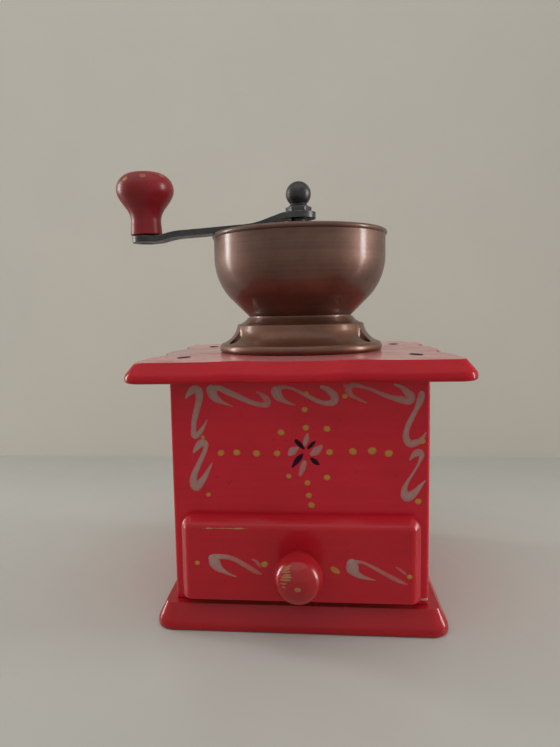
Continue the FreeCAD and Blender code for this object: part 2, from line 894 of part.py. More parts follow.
def make_collar():
    """The cast hopper collar: bead, cavetto and stepped neck, with three screw pockets."""
    body = turned(
        "hopper_collar",
        (S.collar_cavity, ZERO),
        (S.collar_radius - S.collar_foot_inset, ZERO, S.collar_bead_round, LEFT),
        (S.collar_radius - S.collar_bead_inset, S.collar_bead, S.collar_hollow, RIGHT),
        (S.collar_waist, S.collar_step - S.collar_roll_drop),
        (S.collar_waist - S.collar_roll_inset, S.collar_step, S.collar_roll, LEFT),
        (S.collar_waist - S.collar_shelf_inset, S.collar_step + S.collar_shelf_rise, S.collar_sweep, RIGHT),
        (S.collar_top_radius, S.collar_height),
        (S.spigot_radius + S.fit, S.collar_height),
        (S.spigot_radius + S.fit, S.collar_step),
        (S.collar_cavity, S.collar_step - S.collar_cavity_slope),
    )
    pockets = sketch_on(body, "XY_Plane", lift=S.collar_floor)
    holes = sketch_on(body, "XY_Plane")
    for x, y in ring_places(S.collar_screw_circle, COLLAR_SCREW_ANGLES):
        circle(pockets, x, y, S.collar_pocket_radius)
        circle(holes, x, y, S.wood_screw_shank + S.fit)
    cut_deep(body, pockets, S.collar_height, up=True)
    cut_through(body, holes)
    finish(body, "hopper_collar", z=TOP)
    screws = [
        screw(S.wood_screw_head, S.wood_screw_head_height, S.wood_screw_shank, S.collar_screw_length,
              x, y, TOP + S.collar_floor, False, False)
        for x, y in ring_places(S.collar_screw_circle, COLLAR_SCREW_ANGLES)
    ]
    finish(group("collar_screw_group", screws), "collar_screws")


def make_bowl():
    """The spun copper bowl with its rolled rim and the spigot that drops through the collar."""
    spigot_foot = S.flange - S.collar_height
    inner_curve = S.bowl_curve - S.bowl_sheet
    centre = S.bowl_radius - S.bowl_curve
    outer_turn = (centre + S.bowl_curve * COS_45, S.bowl_wall_start - S.bowl_curve * COS_45)
    inner_turn = (centre + inner_curve * COS_45, S.bowl_wall_start - inner_curve * COS_45)
    neck_cross = outer_turn[1] - outer_turn[0] + S.bowl_neck
    neck_reach = S.bowl_neck_round * TAN_22
    bore = S.spigot_radius - S.bowl_sheet
    body = turned(
        "hopper_bowl",
        (bore, spigot_foot),
        (S.spigot_radius, spigot_foot),
        (S.spigot_radius, ZERO),
        (S.bowl_neck, ZERO),
        (S.bowl_neck, neck_cross - neck_reach, S.bowl_neck_round, RIGHT),
        (S.bowl_neck + neck_reach * COS_45, neck_cross + neck_reach * COS_45),
        (outer_turn[0], outer_turn[1], S.bowl_curve, LEFT),
        (S.bowl_radius, S.bowl_wall_start),
        (S.bowl_radius, S.bowl_height),
        (S.bowl_radius - S.bowl_sheet, S.bowl_height),
        (S.bowl_radius - S.bowl_sheet, S.bowl_wall_start, inner_curve, RIGHT),
        (inner_turn[0], inner_turn[1]),
        (inner_turn[0] - inner_turn[1] + S.bowl_sheet, S.bowl_sheet),
        (bore, S.bowl_sheet),
    )
    bead = sketch_on(body, "XZ_Plane")
    circle(bead, S.bowl_radius - S.bowl_sheet / 2, S.bowl_height, S.bead_radius)
    revolve(body, bead)
    finish(body, "hopper_bowl", z=SEAM)


def notch_sketch(body, lift, tip, mouth, half_width, turn):
    """A V across a groove at one height: its tip and its mouth lie along X."""
    sketch = sketch_on(body, "XY_Plane", lift=lift, turn=turn)
    outline(sketch, (tip, ZERO), (mouth, -half_width), (mouth, half_width))
    return sketch


def flute(body, low, high, count):
    """Cut one groove between two V sketches and repeat it round the axis."""
    repeat_round(body, cut_between(body, low, high), low, count)


def make_burr_ring():
    """The fixed burr: a flanged funnel, fluted inside and slotted for the bridge."""
    foot = -S.ring_depth
    body = turned(
        "burr_ring",
        (S.ring_bore, foot),
        (S.ring_foot_radius, foot),
        (S.ring_foot_radius, -(S.ring_step + S.ring_step_slope)),
        (S.ring_radius, -S.ring_step),
        (S.ring_radius, ZERO),
        (S.flange_radius, ZERO),
        (S.flange_radius, S.flange),
        (S.ring_mouth, S.flange),
        (S.ring_throat, -S.ring_throat_drop),
    )
    mouth = S.ring_flute_depth + PAST
    low_tip = S.ring_bore + S.ring_groove_depth
    low = notch_sketch(body, foot - PAST, low_tip, S.ring_bore - mouth, S.ring_groove_half, ZERO)
    high_tip = S.ring_throat + S.ring_flute_depth
    high = notch_sketch(body, PAST * 2 - S.ring_throat_drop, high_tip, S.ring_throat - mouth,
                        S.ring_flute_half, -S.burr_twist)
    flute(body, low, high, S.ring_flutes)
    slots = sketch_on(body, "XY_Plane", lift=S.flange)
    half = S.tenon_width / 2 + S.fit
    near, far = S.bridge_leg - S.fit, S.bridge_leg + S.strap + S.fit
    outline(slots, (near, -half), (far, -half), (far, half), (near, half))
    outline(slots, (-far, -half), (-near, -half), (-near, half), (-far, half))
    cut_deep(body, slots, S.flange)
    holes = sketch_on(body, "XY_Plane")
    for x, y in ring_places(S.burr_screw_circle, BURR_SCREW_ANGLES):
        circle(holes, x, y, S.wood_screw_shank + S.fit)
    cut_through(body, holes)
    countersink(body, S.flange)
    taps = sketch_on(body, "XY_Plane", lift=foot)
    for x in (-STRAP_SCREW_AT, STRAP_SCREW_AT):
        circle(taps, x, ZERO, S.strap_screw_shank + S.fit)
    cut_deep(body, taps, S.strap_screw_length, up=True)
    finish(body, "burr_ring", z=TOP)
    screws = [
        screw(S.wood_screw_head, SUNK_HEAD, S.wood_screw_shank, S.burr_screw_length,
              x, y, FLANGE_TOP, False, True)
        for x, y in ring_places(S.burr_screw_circle, BURR_SCREW_ANGLES)
    ]
    finish(group("burr_screw_group", screws), "burr_screws")


def make_inner_burr():
    """The turning burr: a cone with slanting feed flutes and fine teeth at its foot."""
    foot_radius = S.ring_bore - RING_TAPER * S.burr_recess - S.burr_gap
    crown_radius = foot_radius - RING_TAPER * S.burr_height
    bore = S.shaft_radius + S.fit
    body = turned(
        "inner_burr",
        (bore, ZERO),
        (foot_radius, ZERO),
        (crown_radius, S.burr_height),
        (bore, S.burr_height),
    )
    mouth = PAST * 3
    low_tip = foot_radius - S.burr_groove_depth
    low = notch_sketch(body, -PAST, low_tip, foot_radius + mouth, S.burr_groove_half, ZERO)
    high_tip = crown_radius - S.burr_flute_depth
    high = notch_sketch(body, S.burr_height + PAST, high_tip, crown_radius + mouth,
                        S.burr_flute_half, S.burr_twist)
    flute(body, low, high, S.burr_flutes)
    low = notch_sketch(body, -PAST, foot_radius - S.burr_tooth_depth, foot_radius + PAST,
                       S.burr_tooth_half, ZERO)
    tooth_top = foot_radius - RING_TAPER * S.burr_tooth_height
    high = notch_sketch(body, S.burr_tooth_height, tooth_top - S.burr_tooth_end_depth, tooth_top + PAST,
                        S.burr_tooth_end_half, S.burr_twist / 3)
    flute(body, low, high, S.burr_teeth)
    finish(body, "inner_burr", z=RING_FOOT + S.burr_recess)


def make_spindle():
    """The spindle: pivot, burr seat, shaft with a flat, square for the crank and threaded stud."""
    seat_top = RING_FOOT + S.burr_recess - HUB
    seat_foot = seat_top - S.seat_height
    pivot_foot = RING_FOOT - S.low_strap_drop - S.pivot_tail - HUB
    square_height = S.arm - S.running_gap
    stud_top = square_height + S.stud_length
    body = turned(
        "spindle",
        (ZERO, pivot_foot),
        (S.pivot_radius, pivot_foot),
        (S.pivot_radius, seat_foot),
        (S.seat_radius, seat_foot),
        (S.seat_radius, seat_top),
        (S.shaft_radius, seat_top),
        (S.shaft_radius, ZERO),
        (S.stud_radius, ZERO),
        (S.stud_radius, stud_top),
        (ZERO, stud_top),
    )
    end = sketch_on(body, "XY_Plane")
    square(end, S.shaft_square / 2, S.shaft_square / 2)
    pad(body, end, square_height)
    flat = sketch_on(body, "XY_Plane")
    far = S.shaft_radius + PAST
    outline(flat, (S.shaft_flat, -far), (far, -far), (far, far), (S.shaft_flat, far))
    cut_deep(body, flat, HUB - BRIDGE_TOP - S.running_gap + S.lift + S.bore_gap)
    finish(body, "spindle", z=HUB)


def make_bridge():
    """The upper bearing strap: an arch with tenons in the flange of the burr ring."""
    body = new_body("bridge")
    side = sketch_on(body, "XZ_Plane")
    inner, outer = S.bridge_leg, S.bridge_leg + S.strap
    under = S.bridge_height - S.strap
    outline(
        side, (-outer, ZERO), (-inner, ZERO), (-inner, under), (inner, under), (inner, ZERO),
        (outer, ZERO), (outer, S.bridge_height), (-outer, S.bridge_height),
    )
    pad(body, side, S.strap_width, middle=True)
    round_edges(body, lambda edge: along_y(edge) and edge.BoundBox.ZMin > under.value + 0.1, S.bridge_bend)
    round_edges(
        body,
        lambda edge: along_y(edge) and abs(edge.BoundBox.ZMin - under.value) < 1e-3
        and abs(edge.BoundBox.XMin) > inner.value - 0.1,
        S.bridge_bend - S.strap,
    )
    tenons = sketch_on(body, "XY_Plane")
    half = S.tenon_width / 2
    outline(tenons, (inner, -half), (outer, -half), (outer, half), (inner, half))
    outline(tenons, (-outer, -half), (-inner, -half), (-inner, half), (-outer, half))
    tenon = pad(body, tenons, S.flange - S.fit)
    tenon.Reversed = True
    hole = sketch_on(body, "XY_Plane")
    circle(hole, ZERO, ZERO, S.shaft_radius + S.fit)
    cut_through(body, hole)
    finish(body, "bridge", z=FLANGE_TOP)


def along_y(edge):
    """True for a straight edge from front to back."""
    return edge.BoundBox.YLength > 0.1 and edge.BoundBox.XLength + edge.BoundBox.ZLength < 1e-4


def make_lower_strap():
    """The lower bearing strap under the burr ring, and its two screws."""
    body = new_body("lower_strap")
    side = sketch_on(body, "XZ_Plane")
    inner, outer = S.low_strap_leg, S.low_strap_leg + S.strap
    reach, drop = S.ring_foot_radius, -S.low_strap_drop
    thick = -S.strap
    outline(
        side, (-reach, thick), (-outer, thick), (-outer, drop), (outer, drop), (outer, thick),
        (reach, thick), (reach, ZERO), (inner, ZERO), (inner, drop + S.strap),
        (-inner, drop + S.strap), (-inner, ZERO), (-reach, ZERO),
    )
    pad(body, side, S.low_strap_width, middle=True)
    holes = sketch_on(body, "XY_Plane")
    circle(holes, ZERO, ZERO, S.pivot_radius + S.fit)
    for x in (-STRAP_SCREW_AT, STRAP_SCREW_AT):
        circle(holes, x, ZERO, S.strap_screw_shank + S.fit)
    cut_through(body, holes)
    finish(body, "lower_strap", z=RING_FOOT)
    screws = [
        screw(S.strap_screw_head, S.strap_screw_head_height, S.strap_screw_shank, S.strap_screw_length,
              x, ZERO, RING_FOOT - S.strap, True, False)
        for x in (-STRAP_SCREW_AT, STRAP_SCREW_AT)
    ]
    finish(group("strap_screw_group", screws), "lower_strap_screws")


def make_setting_nut():
    """The keyed thrust washer on the bridge and the notched setting nut that carries the spindle."""
    bore = S.shaft_radius + S.fit
    flat = S.shaft_flat + S.fit
    corner = root(bore * bore - flat * flat)
    body = new_body("thrust_washer")
    plan = sketch_on(body, "XY_Plane")
    circle(plan, ZERO, ZERO, S.washer_radius)
    outline(plan, (flat, -corner), (flat, corner, bore, LEFT), (-bore, ZERO, bore, LEFT))
    pad(body, plan, S.washer)
    finish(body, "thrust_washer", z=BRIDGE_TOP + S.running_gap)

    body = new_body("setting_nut")
    plan = sketch_on(body, "XY_Plane")
    circle(plan, ZERO, ZERO, S.nut_radius)
    circle(plan, ZERO, ZERO, bore)
    pad(body, plan, S.nut_height)
    notch = sketch_on(body, "XY_Plane")
    circle(notch, S.nut_radius + S.nut_notch_radius - S.nut_notch_depth, ZERO, S.nut_notch_radius)
    repeat_round(body, cut_through(body, notch), notch, S.nut_notches)
    finish(body, "setting_nut", z=BRIDGE_TOP + S.washer + S.running_gap * 2)


def make_crank_arm():
    """The S-bent crank arm: a side profile trimmed to its plan, with a square and a round hole."""
    body = new_body("crank_arm")
    side = sketch_on(body, "XZ_Plane")
    eye_end = -(S.crank_radius + S.eye_radius)
    eye_start = -(S.crank_radius - S.eye_flat)
    slope_end = eye_start + S.eye_bend_run
    dip_at = -(S.hub_flat + S.arm_dip_run)
    spine = [
        (S.hub_radius, ZERO),
        (-S.hub_flat, ZERO),
        (dip_at, -S.arm_dip),
        (slope_end, -(S.arm_dip + S.arm_fall)),
        (eye_start, -S.eye_drop),
        (eye_end, -S.eye_drop),
    ]
    upper = [(x, z + S.arm) for x, z in spine]
    outline(side, *reversed(spine), *upper)
    pad(body, side, S.hub_radius * 2, middle=True)
    bends = ((-S.hub_flat, S.arm_bend), (dip_at, S.arm_sweep), (slope_end, S.arm_sweep), (eye_start, S.eye_bend))
    for place, radius in bends:
        round_edges(
            body,
            lambda edge, place=place: along_y(edge) and abs(edge.BoundBox.XMin - place.value) < 0.1,
            radius,
        )
    trim = sketch_on(body, "XY_Plane")
    half = S.arm_width / 2
    hub_cross = root(S.hub_radius * S.hub_radius - half * half)
    eye_cross = root(S.eye_radius * S.eye_radius - half * half)
    rim = S.hub_radius + PAST
    tip = eye_end - PAST
    outline(trim, (tip, -rim), (rim, -rim), (rim, rim), (tip, rim))
    outline(
        trim,
        (-hub_cross, -half, S.hub_radius, LEFT),
        (S.hub_radius, ZERO, S.hub_radius, LEFT),
        (-hub_cross, half),
        (eye_cross - S.crank_radius, half, S.eye_radius, LEFT),
        (eye_end, ZERO, S.eye_radius, LEFT),
        (eye_cross - S.crank_radius, -half),
    )
    cut_through(body, trim)
    holes = sketch_on(body, "XY_Plane")
    across = S.shaft_square / 2 + S.fit
    square(holes, across, across)
    circle(holes, -S.crank_radius, ZERO, S.pin_radius + S.fit)
    cut_through(body, holes)
    recess = sketch_on(body, "XY_Plane", lift=-S.eye_drop)
    circle(recess, -S.crank_radius, ZERO, S.pin_rivet_radius + S.fit)
    cut_deep(body, recess, S.rivet_recess, up=True)
    finish(body, "crank_arm", z=HUB)


def make_ball_nut():
    """The hexagon nut with its ball finial and a blind tapped hole."""
    body = new_body("ball_nut")
    base = sketch_on(body, "XY_Plane")
    flat = S.ball_hex / 2
    corner = flat * HEX_CORNER
    bevel = flat - S.ball_hex_chamfer
    outline(
        base, (-corner, ZERO), (-corner / 2, -flat), (corner / 2, -flat),
        (corner, ZERO), (corner / 2, flat), (-corner / 2, flat),
    )
    pad(body, base, S.ball_hex_height)
    profile = sketch_on(body, "XZ_Plane")
    shoulder = S.ball_hex_height + S.ball_shoulder
    neck_top = S.ball_rise - root(S.ball_radius * S.ball_radius - S.ball_neck * S.ball_neck)
    crown = S.ball_rise + S.ball_radius
    outline(
        profile,
        (ZERO, S.ball_hex_height / 2),
        (bevel, S.ball_hex_height / 2),
        (bevel, S.ball_hex_height),
        (S.ball_neck, shoulder),
        (S.ball_neck, neck_top, S.ball_radius, LEFT),
        (S.ball_radius, S.ball_rise, S.ball_radius, LEFT),
        (ZERO, crown),
    )
    revolve(body, profile)
    tap = sketch_on(body, "XY_Plane")
    circle(tap, ZERO, ZERO, S.stud_radius + S.fit)
    cut_deep(body, tap, S.stud_length, up=True)
    finish(body, "ball_nut", z=HUB_TOP)


def make_handle():
    """The turned handle knob, its rivet pin and the washer between knob and arm."""
    bore = S.pin_radius + S.fit
    washer = turned(
        "knob_washer",
        (bore, ZERO),
        (S.knob_washer_radius, ZERO),
        (S.knob_washer_radius, S.knob_washer),
        (bore, S.knob_washer),
    )
    finish(washer, "knob_washer", x=-S.crank_radius, z=EYE_TOP)

    floor = S.knob_height - S.knob_recess
    recess = S.pin_head_radius + S.knob_gap
    knob = turned(
        "handle_knob",
        (bore, ZERO),
        (S.knob_foot - S.knob_foot_edge, ZERO),
        (S.knob_foot, S.knob_foot_rise),
        (S.knob_neck, S.knob_neck_height, S.knob_waist, RIGHT),
        (S.knob_swell, S.knob_swell_height, S.knob_flare, LEFT),
        (S.knob_cheek, S.knob_cheek_height, S.knob_bulge, LEFT),
        (S.knob_brow, S.knob_brow_height, S.knob_shoulder, LEFT),
        (S.knob_crown_radius, S.knob_height - S.knob_crown_drop, S.knob_crown, LEFT),
        (recess, S.knob_height - S.knob_lip_drop),
        (recess, floor),
        (bore, floor),
    )
    finish(knob, "handle_knob", x=-S.crank_radius, z=KNOB_FOOT)

    foot = S.rivet_recess - S.pin_rivet
    seat = KNOB_FOOT - EYE + floor + S.knob_gap
    pin = turned(
        "handle_pin",
        (ZERO, foot),
        (S.pin_rivet_radius, foot),
        (S.pin_rivet_radius, S.rivet_recess),
        (S.pin_radius, S.rivet_recess),
        (S.pin_radius, seat),
        (S.pin_head_radius, seat),
        (S.pin_head_radius, seat + S.pin_head / 2, cap_radius(S.pin_head_radius, S.pin_head / 2), LEFT),
        (ZERO, seat + S.pin_head),
    )
    finish(pin, "handle_pin", x=-S.crank_radius, z=EYE)


def check_objects():
    """Stop if any object failed or any piece is not a sound solid."""
    for item in doc.Objects:
        if {"Invalid", "Error"} & set(item.State):
            raise RuntimeError(f"{item.Label} did not build: {item.State}")
    for piece in pieces:
        if piece.Shape.isNull() or not piece.Shape.isValid() or not piece.Shape.Solids:
            raise RuntimeError(f"{piece.Label} is not a sound solid")


def write_pieces():
    """Write each piece to its own file."""
    os.makedirs("parts", exist_ok=True)
    for piece in pieces:
        piece.Shape.exportStep(f"parts/{piece.Label}.step")
        box = piece.Shape.BoundBox
        print(f"{piece.Label:20s} solids {len(piece.Shape.Solids)} volume {piece.Shape.Volume:10.1f}"
              f" z {box.ZMin:7.2f} {box.ZMax:7.2f}")


make_sheet()
make_base_board()
make_base_screws()
make_side_wall("left_wall", -1)
make_side_wall("right_wall", 1)
make_back_wall()
make_front_panel()
make_top_board()
make_dowels()
make_drawer()
make_drawer_knob()
make_collar()
make_bowl()
make_burr_ring()
make_inner_burr()
make_spindle()
make_bridge()
make_lower_strap()
make_setting_nut()
make_crank_arm()
make_ball_nut()
make_handle()
doc.recompute()
check_objects()
write_pieces()
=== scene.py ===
"""Dress the box coffee mill in enamel, copper and iron and stand it on a table in soft light.

Sizes in the classes are millimetres in the frame of the solids: the origin lies under the middle of
the base board, +Z is up, the drawer faces -Y and the crank points along -X.
"""
import logging
import math
from dataclasses import dataclass, replace
from enum import Enum
from typing import Any, Callable, Collection, Iterable, Sequence

import bmesh
import bpy
from mathutils import Matrix, Vector
from mathutils.geometry import interpolate_bezier


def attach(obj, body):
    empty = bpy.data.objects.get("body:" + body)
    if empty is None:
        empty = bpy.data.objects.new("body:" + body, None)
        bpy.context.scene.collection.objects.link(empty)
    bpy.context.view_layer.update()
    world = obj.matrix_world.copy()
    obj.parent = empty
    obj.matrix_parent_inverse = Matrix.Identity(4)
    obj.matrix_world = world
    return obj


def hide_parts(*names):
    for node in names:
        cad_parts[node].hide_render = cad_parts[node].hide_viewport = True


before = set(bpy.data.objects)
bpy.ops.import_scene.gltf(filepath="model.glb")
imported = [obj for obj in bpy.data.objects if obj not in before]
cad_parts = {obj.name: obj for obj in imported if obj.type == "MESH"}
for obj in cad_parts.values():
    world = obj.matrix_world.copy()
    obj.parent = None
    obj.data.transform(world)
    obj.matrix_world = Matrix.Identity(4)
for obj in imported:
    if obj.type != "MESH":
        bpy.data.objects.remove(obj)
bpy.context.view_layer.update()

MM = 0.001
WEAR = "edge_wear"
LOAD = "paint_load"
GREY_WOOD = (0.56, 0.43, 0.38, 1.0)
FACING = 0.9  # part of a face's normal above which it counts as facing that way
LEVEL = 0.99  # the same, for the flat top of a board
PAINT_CREASE = 80.0  # degrees: paint has hardly an edge
UPRIGHT = Matrix.Rotation(math.pi / 2, 4, "X")  # stands a flat drawing up to face the front

Pair = tuple[float, float]
Triple = tuple[float, float, float]
Mark = tuple[float, float, float, float]
Colour = tuple[float, float, float, float]
Socket = bpy.types.NodeSocket
Finish = bpy.types.Material
Piece = bpy.types.Object
Shape = bmesh.types.BMesh
Facet = bmesh.types.BMFace
Edge = bmesh.types.BMEdge
Corner = bmesh.types.BMVert

log = logging.getLogger("coffee_mill")


class Body(Enum):
    """The groups of the mill that move together, by their names in the frame."""

    MILL = "mill_body"
    SPINDLE = "grinding_spindle"
    SETTING = "grind_setting"
    WASHER = "keyed_washer"
    HANDLE = "crank_handle"
    DRAWER = "drawer"


class Slot(Enum):
    """The material slots of the record."""

    RED_PAINT = "red_paint"
    BARE_WOOD = "bare_wood"
    COPPER = "copper"
    BLACK_IRON = "black_iron"
    STEEL = "steel"


class Bend(Enum):
    """The side of a profile line on which the centre of an arc lies."""

    LEFT = 1
    RIGHT = -1


class Face(Enum):
    """The faces of the mill that carry painted strokes."""

    FRONT = "front"
    TOP = "top"


class NodeGraph:
    """The nodes of one material, with the calls that the finishes share."""

    def __init__(self, name: str) -> None:
        """Start an empty material.

        Args:
            name: The name of the material.
        """
        self.material = bpy.data.materials.new(name)
        self.material.use_nodes = True
        self.tree = self.material.node_tree
        self.tree.nodes.clear()
        self.coords = self.add("TexCoord").outputs["Object"]

    def add(
        self, kind: str, inputs: dict[str | int, Any] | None = None, **settings: Any
    ) -> bpy.types.Node:
        """Add a node, set its options and fill or link its inputs.

        Args:
            kind: The node type, without its common first part.
            inputs: Values or sockets by input name or number.
            settings: Options of the node itself.

        Returns:
            The new node.
        """
        node = self.tree.nodes.new("ShaderNode" + kind)
        for option, value in settings.items():
            setattr(node, option, value)
        for key, value in (inputs or {}).items():
            if isinstance(value, Socket):
                self.tree.links.new(value, node.inputs[key])
            else:
                node.inputs[key].default_value = value
        return node

    def stretched(self, scale: Triple, shift: Triple = (0.0, 0.0, 0.0)) -> Socket:
        """The place on the piece, scaled along each axis and shifted."""
        return self.add("Mapping", {"Vector": self.coords, "Scale": scale, "Location": shift}).outputs[0]

    def noise(
        self, scale: float, detail: float = 3.0, rough: float = 0.5, at: Socket | None = None
    ) -> Socket:
        """Cloudy noise.

        Args:
            scale: Features per metre.
            detail: The number of finer layers.
            rough: The weight of the finer layers.
            at: The place to read, the piece's own where none is given.

        Returns:
            The noise value, about 0.3 to 0.7.
        """
        inputs = {"Vector": at or self.coords, "Scale": scale, "Detail": detail, "Roughness": rough}
        return self.add("TexNoise", inputs).outputs[0]

    def remap(
        self, value: Socket, low: float, high: float, out_low: float = 0.0, out_high: float = 1.0
    ) -> Socket:
        """A value carried from one range to another and held inside it."""
        inputs = {0: value, 1: low, 2: high, 3: out_low, 4: out_high}
        return self.add("MapRange", inputs).outputs[0]

    def calc(self, operation: str, first: Socket | float, second: Socket | float = 0.0) -> Socket:
        """One sum of two values."""
        return self.add("Math", {0: first, 1: second}, operation=operation).outputs[0]

    def mix(self, share: Socket, first: Socket | Colour, second: Socket | Colour) -> Socket:
        """Two colours mixed by a share of the second."""
        node = self.add("Mix", {0: share, 6: first, 7: second}, data_type="RGBA")
        return node.outputs[2]

    def bump(self, height: Socket, strength: float, depth: float, under: Socket | None = None) -> Socket:
        """A bumped normal.

        Args:
            height: The height pattern, 0 to 1.
            strength: How much of the bump shows.
            depth: The height in millimetres that the pattern stands for.
            under: A bumped normal below this one.

        Returns:
            The normal.
        """
        inputs = {"Height": height, "Strength": strength, "Distance": depth * MM}
        if under is not None:
            inputs["Normal"] = under
        return self.add("Bump", inputs).outputs[0]

    def attribute(self, name: str) -> Socket:
        """A number stored on the mesh."""
        return self.add("Attribute", attribute_name=name).outputs["Fac"]

    def finish(self, inputs: dict[str | int, Any], one_sided: bool = False) -> Finish:
        """Close the graph with a surface shader.

        Args:
            inputs: Values or sockets of the shader.
            one_sided: Whether the surface is clear when it is seen from behind.

        Returns:
            The material.
        """
        surface = self.add("BsdfPrincipled", inputs).outputs[0]
        if one_sided:
            behind = self.add("NewGeometry").outputs["Backfacing"]
            clear = self.add("BsdfTransparent").outputs[0]
            surface = self.add("MixShader", {0: behind, 1: surface, 2: clear}).outputs[0]
        self.add("OutputMaterial", {"Surface": surface})
        return self.material


@dataclass(frozen=True)
class Rub:
    """A place rubbed or chipped down to the wood: its middle and its half sizes."""

    middle: Triple
    reach: Triple


@dataclass(frozen=True)
class Enamel:
    """Old gloss enamel on wood: brush lines, dust and dings, and edges rubbed to the wood."""

    name: str
    lines: Triple = (8.0, 260.0, 260.0)
    rubs: tuple[Rub, ...] = ()
    colour: Colour = (0.580, 0.0135, 0.0305, 1.0)
    deep: Colour = (0.460, 0.0098, 0.0225, 1.0)
    dirt: Colour = (0.075, 0.010, 0.010, 1.0)
    wood: Colour = (0.46, 0.30, 0.12, 1.0)
    wear: float = 1.0
    gloss: float = 0.15
    shine: float = 0.26
    relief: float = 1.0
    dust: float = 0.0
    grain: Triple = (60.0, 700.0, 700.0)
    wood_shade: float = 0.62

    def make(self) -> Finish:
        """Build the material."""
        graph = NodeGraph(self.name)
        cloud = graph.noise(16.0, 4.0, 0.55)
        brush = graph.noise(1.0, 3.0, 0.6, graph.stretched(self.lines))
        broad = graph.remap(cloud, 0.3, 0.7, 0.0, 0.7)
        tone = graph.calc("ADD", broad, graph.remap(brush, 0.35, 0.65, 0.0, 0.3))
        paint = graph.mix(tone, self.deep, self.colour)
        specks = graph.remap(graph.noise(420.0, 2.0), 0.70, 0.78, 0.0, 0.55)
        paint = graph.mix(specks, paint, self.dirt)
        bare = self.bare_share(graph)
        grain = graph.noise(1.0, 4.0, 0.6, graph.stretched(self.grain))
        shaded = tuple(part * self.wood_shade for part in self.wood[:3]) + (1.0,)
        wood = graph.mix(graph.remap(grain, 0.3, 0.7), shaded, self.wood)
        colour = graph.mix(bare, paint, wood)
        smear = graph.remap(graph.noise(38.0, 5.0, 0.62), 0.35, 0.7, self.gloss, self.gloss + 0.13)
        rough = graph.calc("ADD", smear, graph.calc("MULTIPLY", bare, 0.32))
        peel = graph.bump(graph.noise(330.0, 2.0), 0.10 * self.relief, 0.05)
        streaks = graph.bump(brush, 0.22 * self.relief, 0.10, peel)
        chips = graph.bump(graph.calc("SUBTRACT", 1.0, bare), 0.5, 0.12, streaks)
        return graph.finish({
            "Base Color": colour, "Roughness": rough, "Normal": chips,
            "Specular IOR Level": self.shine, "Sheen Weight": self.dust, "Sheen Roughness": 0.35,
        })

    def bare_share(self, graph: NodeGraph) -> Socket:
        """Where the wood shows: along worn edges and at the named rubs.

        Args:
            graph: The graph of the material.

        Returns:
            The share of bare wood, 0 to 1.
        """
        patches = graph.remap(graph.noise(48.0, 4.0, 0.62), 0.63, 0.68, 0.0, self.wear)
        bare = graph.calc("MULTIPLY", graph.attribute(WEAR), patches)
        ragged = graph.remap(graph.noise(260.0, 4.0, 0.7), 0.3, 0.7, -0.45, 0.45)
        for rub in self.rubs:
            scale = tuple(1.0 / (size * MM) for size in rub.reach)
            shift = tuple(-place / size for place, size in zip(rub.middle, rub.reach))
            offset = graph.stretched(scale, shift)
            away = graph.add("VectorMath", {0: offset}, operation="LENGTH").outputs["Value"]
            spot = graph.remap(graph.calc("ADD", away, ragged), 1.0, 0.75)
            bare = graph.calc("MAXIMUM", bare, spot)
        return bare


@dataclass(frozen=True)
class AgedCopper:
    """Spun copper gone brown: turning lines round the axis and darker stains, with a painted reflection of
    the red top board that makes it redder towards the foot.
    """

    name: str
    # low and high: heights in millimetres over which the painted reflection of the red top board fades out
    low: float
    high: float
    bright: Colour = (0.190, 0.093, 0.063, 1.0)
    brown: Colour = (0.112, 0.053, 0.035, 1.0)
    painted_red_reflection: Colour = (0.165, 0.060, 0.036, 1.0)
    stain: Colour = (0.060, 0.028, 0.019, 1.0)

    def make(self) -> Finish:
        """Build the material."""
        graph = NodeGraph(self.name)
        turning = graph.noise(1.0, 4.0, 0.7, graph.stretched((5.0, 5.0, 900.0)))
        bands = graph.noise(1.0, 2.0, 0.5, graph.stretched((4.0, 4.0, 120.0)))
        height = graph.add("SeparateXYZ", {0: graph.coords}).outputs["Z"]
        # Painted reflection: the copper is fully red below low and fades to brown by high, standing in for
        # the red top board mirrored in the metal
        red_reflection_fade = graph.remap(height, self.low * MM, self.high * MM)
        body = graph.mix(red_reflection_fade, self.painted_red_reflection, self.brown)
        body = graph.mix(graph.remap(bands, 0.35, 0.7, 0.0, 0.55), body, self.bright)
        cloud = graph.remap(graph.noise(30.0, 6.0, 0.66), 0.42, 0.68, 0.0, 0.75)
        body = graph.mix(cloud, body, self.stain)
        body = graph.mix(graph.remap(turning, 0.3, 0.75, 0.0, 0.35), body, self.bright)
        rough = graph.remap(graph.noise(75.0, 4.0, 0.6), 0.3, 0.7, 0.42, 0.55)
        normal = graph.bump(turning, 0.25, 0.05, graph.bump(graph.noise(45.0, 3.0), 0.2, 0.15))
        return graph.finish({
            "Base Color": body, "Roughness": rough, "Normal": normal, "Metallic": 0.68,
            "Coat Weight": 0.4, "Coat Roughness": 0.17,
        })


@dataclass(frozen=True)
class BlackIron:
    """Blackened iron: a satin skin with a fine hammered grain, rubbed bright at the edges."""

    name: str
    skin: Colour = (0.030, 0.031, 0.033, 1.0)
    grey: Colour = (0.070, 0.071, 0.072, 1.0)
    rubbed: Colour = (0.24, 0.23, 0.22, 1.0)

    def make(self) -> Finish:
        """Build the material."""
        graph = NodeGraph(self.name)
        cloud = graph.remap(graph.noise(70.0, 5.0, 0.6), 0.35, 0.68)
        metal = graph.mix(cloud, self.skin, self.grey)
        patches = graph.remap(graph.noise(120.0, 4.0, 0.6), 0.45, 0.62, 0.0, 0.8)
        worn = graph.calc("MULTIPLY", graph.attribute(WEAR), patches)
        metal = graph.mix(worn, metal, self.rubbed)
        rough = graph.remap(graph.noise(210.0, 3.0), 0.3, 0.7, 0.30, 0.46)
        hammered = graph.bump(graph.noise(110.0, 2.0), 0.25, 0.2)
        normal = graph.bump(graph.noise(520.0, 3.0), 0.18, 0.06, hammered)
        return graph.finish({
            "Base Color": metal, "Roughness": rough, "Normal": normal, "Metallic": 0.55,
        })


